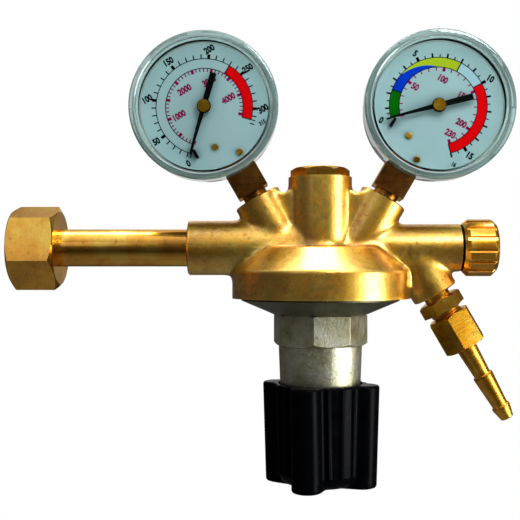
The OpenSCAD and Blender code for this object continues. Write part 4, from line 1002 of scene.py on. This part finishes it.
def printedNumber(text, radius, degrees, height, thick):
    d = scaleSet["digits"]
    curve = bpy.data.curves.new("digits", "FONT")
    curve.body = text
    curve.align_x = "CENTER"
    curve.align_y = "CENTER"
    curve.size = height / d["share"] * mm
    curve.extrude = thick / 2 * mm
    curve.offset = height * d["bold"] * mm
    curve.resolution_u = d["curve"]
    ob = bpy.data.objects.new("digits", curve)
    bpy.context.scene.collection.objects.link(ob)
    mesh = finishedMesh(ob)
    bpy.data.objects.remove(ob)
    bpy.data.curves.remove(curve)
    bm = bmesh.new()
    bm.from_mesh(mesh)
    bpy.data.meshes.remove(mesh)
    angle = math.radians(degrees)
    spot = Matrix.Translation((radius * math.sin(angle) * mm, radius * math.cos(angle) * mm, thick / 2 * mm))
    return placed(outward(bm), spot @ Matrix.Diagonal((d["narrow"], 1, 1, 1)))


def tickSize(scale, value):
    s = scaleSet
    if value > 0 and value % scale["big"] == 0:
        return s["bigTick"]
    return (s["wholeTick"], scale["wholeWidth"]) if value == round(value) else s["fineTick"]


def scaleParts(scale):
    # (ink, bmesh) pairs in the dial's own frame
    s = scaleSet
    ink, line, outer, inner = s["ink"], s["line"], s["outerR"], s["innerR"]
    first, last = dialAngle(scale, 0), dialAngle(scale, scale["top"])
    parts = [("black", ring(r - line / 2, r + line / 2, first, last, ink["outline"])) for r in (outer, inner)]

    def mark(name, r0, r1, width, angle):
        parts.append((name, inkMark(r0, r1, width, angle, ink["mark"])))

    for i in range(round(scale["top"] / scale["step"]) + 1):
        value = i * scale["step"]
        length, width = tickSize(scale, value)
        mark("black", outer, outer + length, width, dialAngle(scale, value))
    for end in (first, last):
        mark("black", inner, outer + s["wholeTick"], s["endLine"], end)
    for i in range(round(scale["innerTop"] / scale["innerStep"]) + 1):
        value = i * scale["innerStep"]
        big = value % scale["innerBig"] == 0 or value == scale["innerTop"]
        length, width = s["innerBigTick"] if big else s["innerTick"]
        mark("magenta", inner - length, inner, width, dialAngle(scale, value / psiPerBar))
    height = s["digits"]["height"]
    for text, value, radius, size in [(*label, height) for label in scale["labels"]] + [scale["endLabel"]]:
        parts.append(("black", printedNumber(text, radius, dialAngle(scale, value), size, ink["mark"])))
    for text, value, radius in scale["innerLabels"]:
        angle = dialAngle(scale, value / psiPerBar)
        parts.append(("magenta", printedNumber(text, radius, angle, height, ink["mark"])))
    return parts + zoneParts(scale)


def zoneParts(scale):
    s = scaleSet
    ink, outer, inner = s["ink"], s["outerR"], s["innerR"]

    def slant(angle):
        low, high = [dialAngle(scale, value) for value in scale["slant"]]
        return outer - (outer - inner) * max(0, min(1, (angle - low) / (high - low)))

    edges = {"blue": lambda a: (inner, max(inner + s["thin"], slant(a))),
             "yellow": lambda a: (min(outer - s["thin"], slant(a)), outer)}
    parts = []
    for name, low, high in scale["zones"]:
        edge = edges.get(name, lambda a: (inner, outer))
        parts.append((name, inkBand(edge, dialAngle(scale, low), dialAngle(scale, high), ink["zone"])))
    for value in scale["zoneEnds"]:
        width = s["line"] * s["zoneLine"]
        parts.append(("black", inkMark(inner, outer, width, dialAngle(scale, value), ink["outline"])))
    return parts


def makeScale(gauge, side):
    names = list(inks)
    r0, r1, thick = scaleSet["goldRing"]
    halves = [("gold", ring(r0, r1, a, a + 180, thick)) for a in (0, 180)]
    whole = joined(*[painted(part, names.index(name)) for name, part in scaleParts(scaleSet[gauge]) + halves])
    placed(whole, dialPlace(side, scaleSet["face"] - scaleSet["sink"]))
    ob = asObject(gauge + "Scale", whole, list(inks.values()))
    return settle(ob, gauge + "_dial", replaces=False, degrees=None)


for gauge, side in gaugeSides.items():
    makeWindow(gauge, side)
    makeDial(gauge)
    makeScale(gauge, side)
print("windows and scales made")

# Finishes of the frame's own nodes that keep their shape
keptSet = {
    "inlet_washer": "sealPlastic", "inlet_filter": "bronze", "plug_seal": "rubber", "valve_seat": "turnedZ",
    "poppet": "turnedZ", "poppet_seal": "sealPlastic", "push_pin": "steel", "pin_disc": "turnedZ",
    "diaphragm": "rubber", "diaphragm_plate": "steel", "slip_ring": "steel", "spring_button": "steel",
    "outlet_disc": "turnedX", "disc_washer": "sealPlastic", "outlet_spindle": "turnedX",
    "spindle_seal": "rubber", "gasket": "copper", "tube": "tubeBronze", "movement": "movement",
    "sector": "movement", "link": "steel",
}
for kind, finish in keptSet.items():
    for node in nodesOf(kind):
        for holder in nodes[node].material_slots:
            holder.material = finishes[finish]
print("kept nodes finished")

lightSet = {
    # place in metres, size, power and spread of each soft lamp
    "soft": [((0.35, -0.45, 0.38), (0.22, 0.22), 0.41, 95), ((0.605, -0.21, -0.08), (0.24, 0.34), 0.95, 120),
             ((-0.20, -0.60, 0.27), (0.30, 0.30), 0.08, 120), ((0.12, 0.11, 0.60), (0.56, 0.20), 1.5, 120)],
    "aim": (0.115, 0, 0),
    # a dim room, bright overhead: height from 0 to 1 and brightness
    "room": [(0.0, 0.03), (0.42, 0.035), (0.50, 0.08), (0.66, 0.10), (0.80, 0.40), (0.97, 1.3)], "fill": 0.08,
    # white sheets behind the part: middle and the cosines between which each fades in
    "sheets": [((0, 1, 0), 0.965, 0.998), ((0, 0.90, 0.436), 0.955, 0.985)], "clearView": 0.2,
}
floorSet = {"middle": (0.1, 0.2, -0.42), "half": 900, "thick": 1, "low": 0.32, "high": 0.36,
            "paper": (9, 4, 0.6), "grain": (300, 3, 0.6), "rough": (0.75, 0.9), "glow": 0.93, "glowLevel": 1.06}
white = (1, 1, 1)


def makeLights():
    for number, (spot, size, power, spread) in enumerate(lightSet["soft"]):
        lamp = bpy.data.lights.new("soft" + str(number), "AREA")
        lamp.shape = "RECTANGLE"
        lamp.size, lamp.size_y = size
        lamp.energy = power
        lamp.spread = math.radians(spread)
        ob = bpy.data.objects.new("soft" + str(number), lamp)
        bpy.context.scene.collection.objects.link(ob)
        ob.location = spot
        ob.rotation_euler = (Vector(lightSet["aim"]) - Vector(spot)).to_track_quat("-Z", "Y").to_euler()


def makeFloor():
    s = floorSet
    floor = box((-s["half"], -s["half"], -s["thick"]), (s["half"], s["half"], 0))
    ob = asObject("floor", placed(floor, Matrix.Translation(s["middle"])))
    f = Finish("paleFloor")
    f.set(colour=f.ramp(f.noise(s["paper"]), [(0.3, s["low"]), (0.7, s["high"])]),
          roughness=f.span(f.noise(s["grain"]), *s["rough"]))
    # seen straight, the floor is as white as the sheet behind, with a faint shadow left
    glow = f.node("Emission")
    glow.inputs["Strength"].default_value = s["glowLevel"]
    mixed = f.node("MixShader")
    f.link(f.maths("MULTIPLY", f.node("LightPath").outputs["Is Camera Ray"], s["glow"]), mixed.inputs[0])
    f.link(f.shader.outputs[0], mixed.inputs[1])
    f.link(glow.outputs[0], mixed.inputs[2])
    f.link(mixed.outputs[0], f.tree.nodes["Material Output"].inputs["Surface"])
    ob.data.materials.append(f.material)


def makeWorld():
    world = bpy.data.worlds.new("studio")
    bpy.context.scene.world = world
    world.use_nodes = True
    world.node_tree.nodes.clear()
    w = NodeTree(world.node_tree)
    rays = w.node("LightPath").outputs
    direction = w.node("TexCoord").outputs["Generated"]
    split = w.node("SeparateXYZ")
    w.link(direction, split.inputs[0])
    room = w.ramp(w.span(split.outputs["Z"], 0, 1, -1, 1), lightSet["room"])
    fades = []
    for middle, low, high in lightSet["sheets"]:
        near = w.node("VectorMath", operation="DOT_PRODUCT")
        near.inputs[1].default_value = middle
        w.link(direction, near.inputs[0])
        fades.append(w.span(near.outputs["Value"], 0, 1, low, high))
    walls = w.mix(w.maths("MAXIMUM", *fades), room, white)
    # mirrors and clear plastic see the room, soft faces an even fill
    shine = w.maths("MAXIMUM", rays["Is Glossy Ray"], rays["Is Transmission Ray"])
    fill = w.mix(shine, [lightSet["fill"]] * 3, walls)
    # white where the camera looks, also straight through clear plastic
    straight = w.maths("LESS_THAN", w.maths("ADD", rays["Diffuse Depth"], rays["Glossy Depth"]), 0.5)
    ahead = w.maths("GREATER_THAN", split.outputs["Y"], lightSet["clearView"])
    through = w.maths("MULTIPLY", rays["Is Transmission Ray"], w.maths("MULTIPLY", ahead, straight))
    seen = w.maths("MAXIMUM", rays["Is Camera Ray"], through)
    back = w.node("Background")
    w.link(w.mix(seen, fill, white), back.inputs["Color"])
    w.link(back.outputs[0], w.node("OutputWorld").inputs["Surface"])


makeLights()
makeFloor()
makeWorld()
print("lights, floor and world made")

bpy.context.scene.view_settings.view_transform = "Standard"
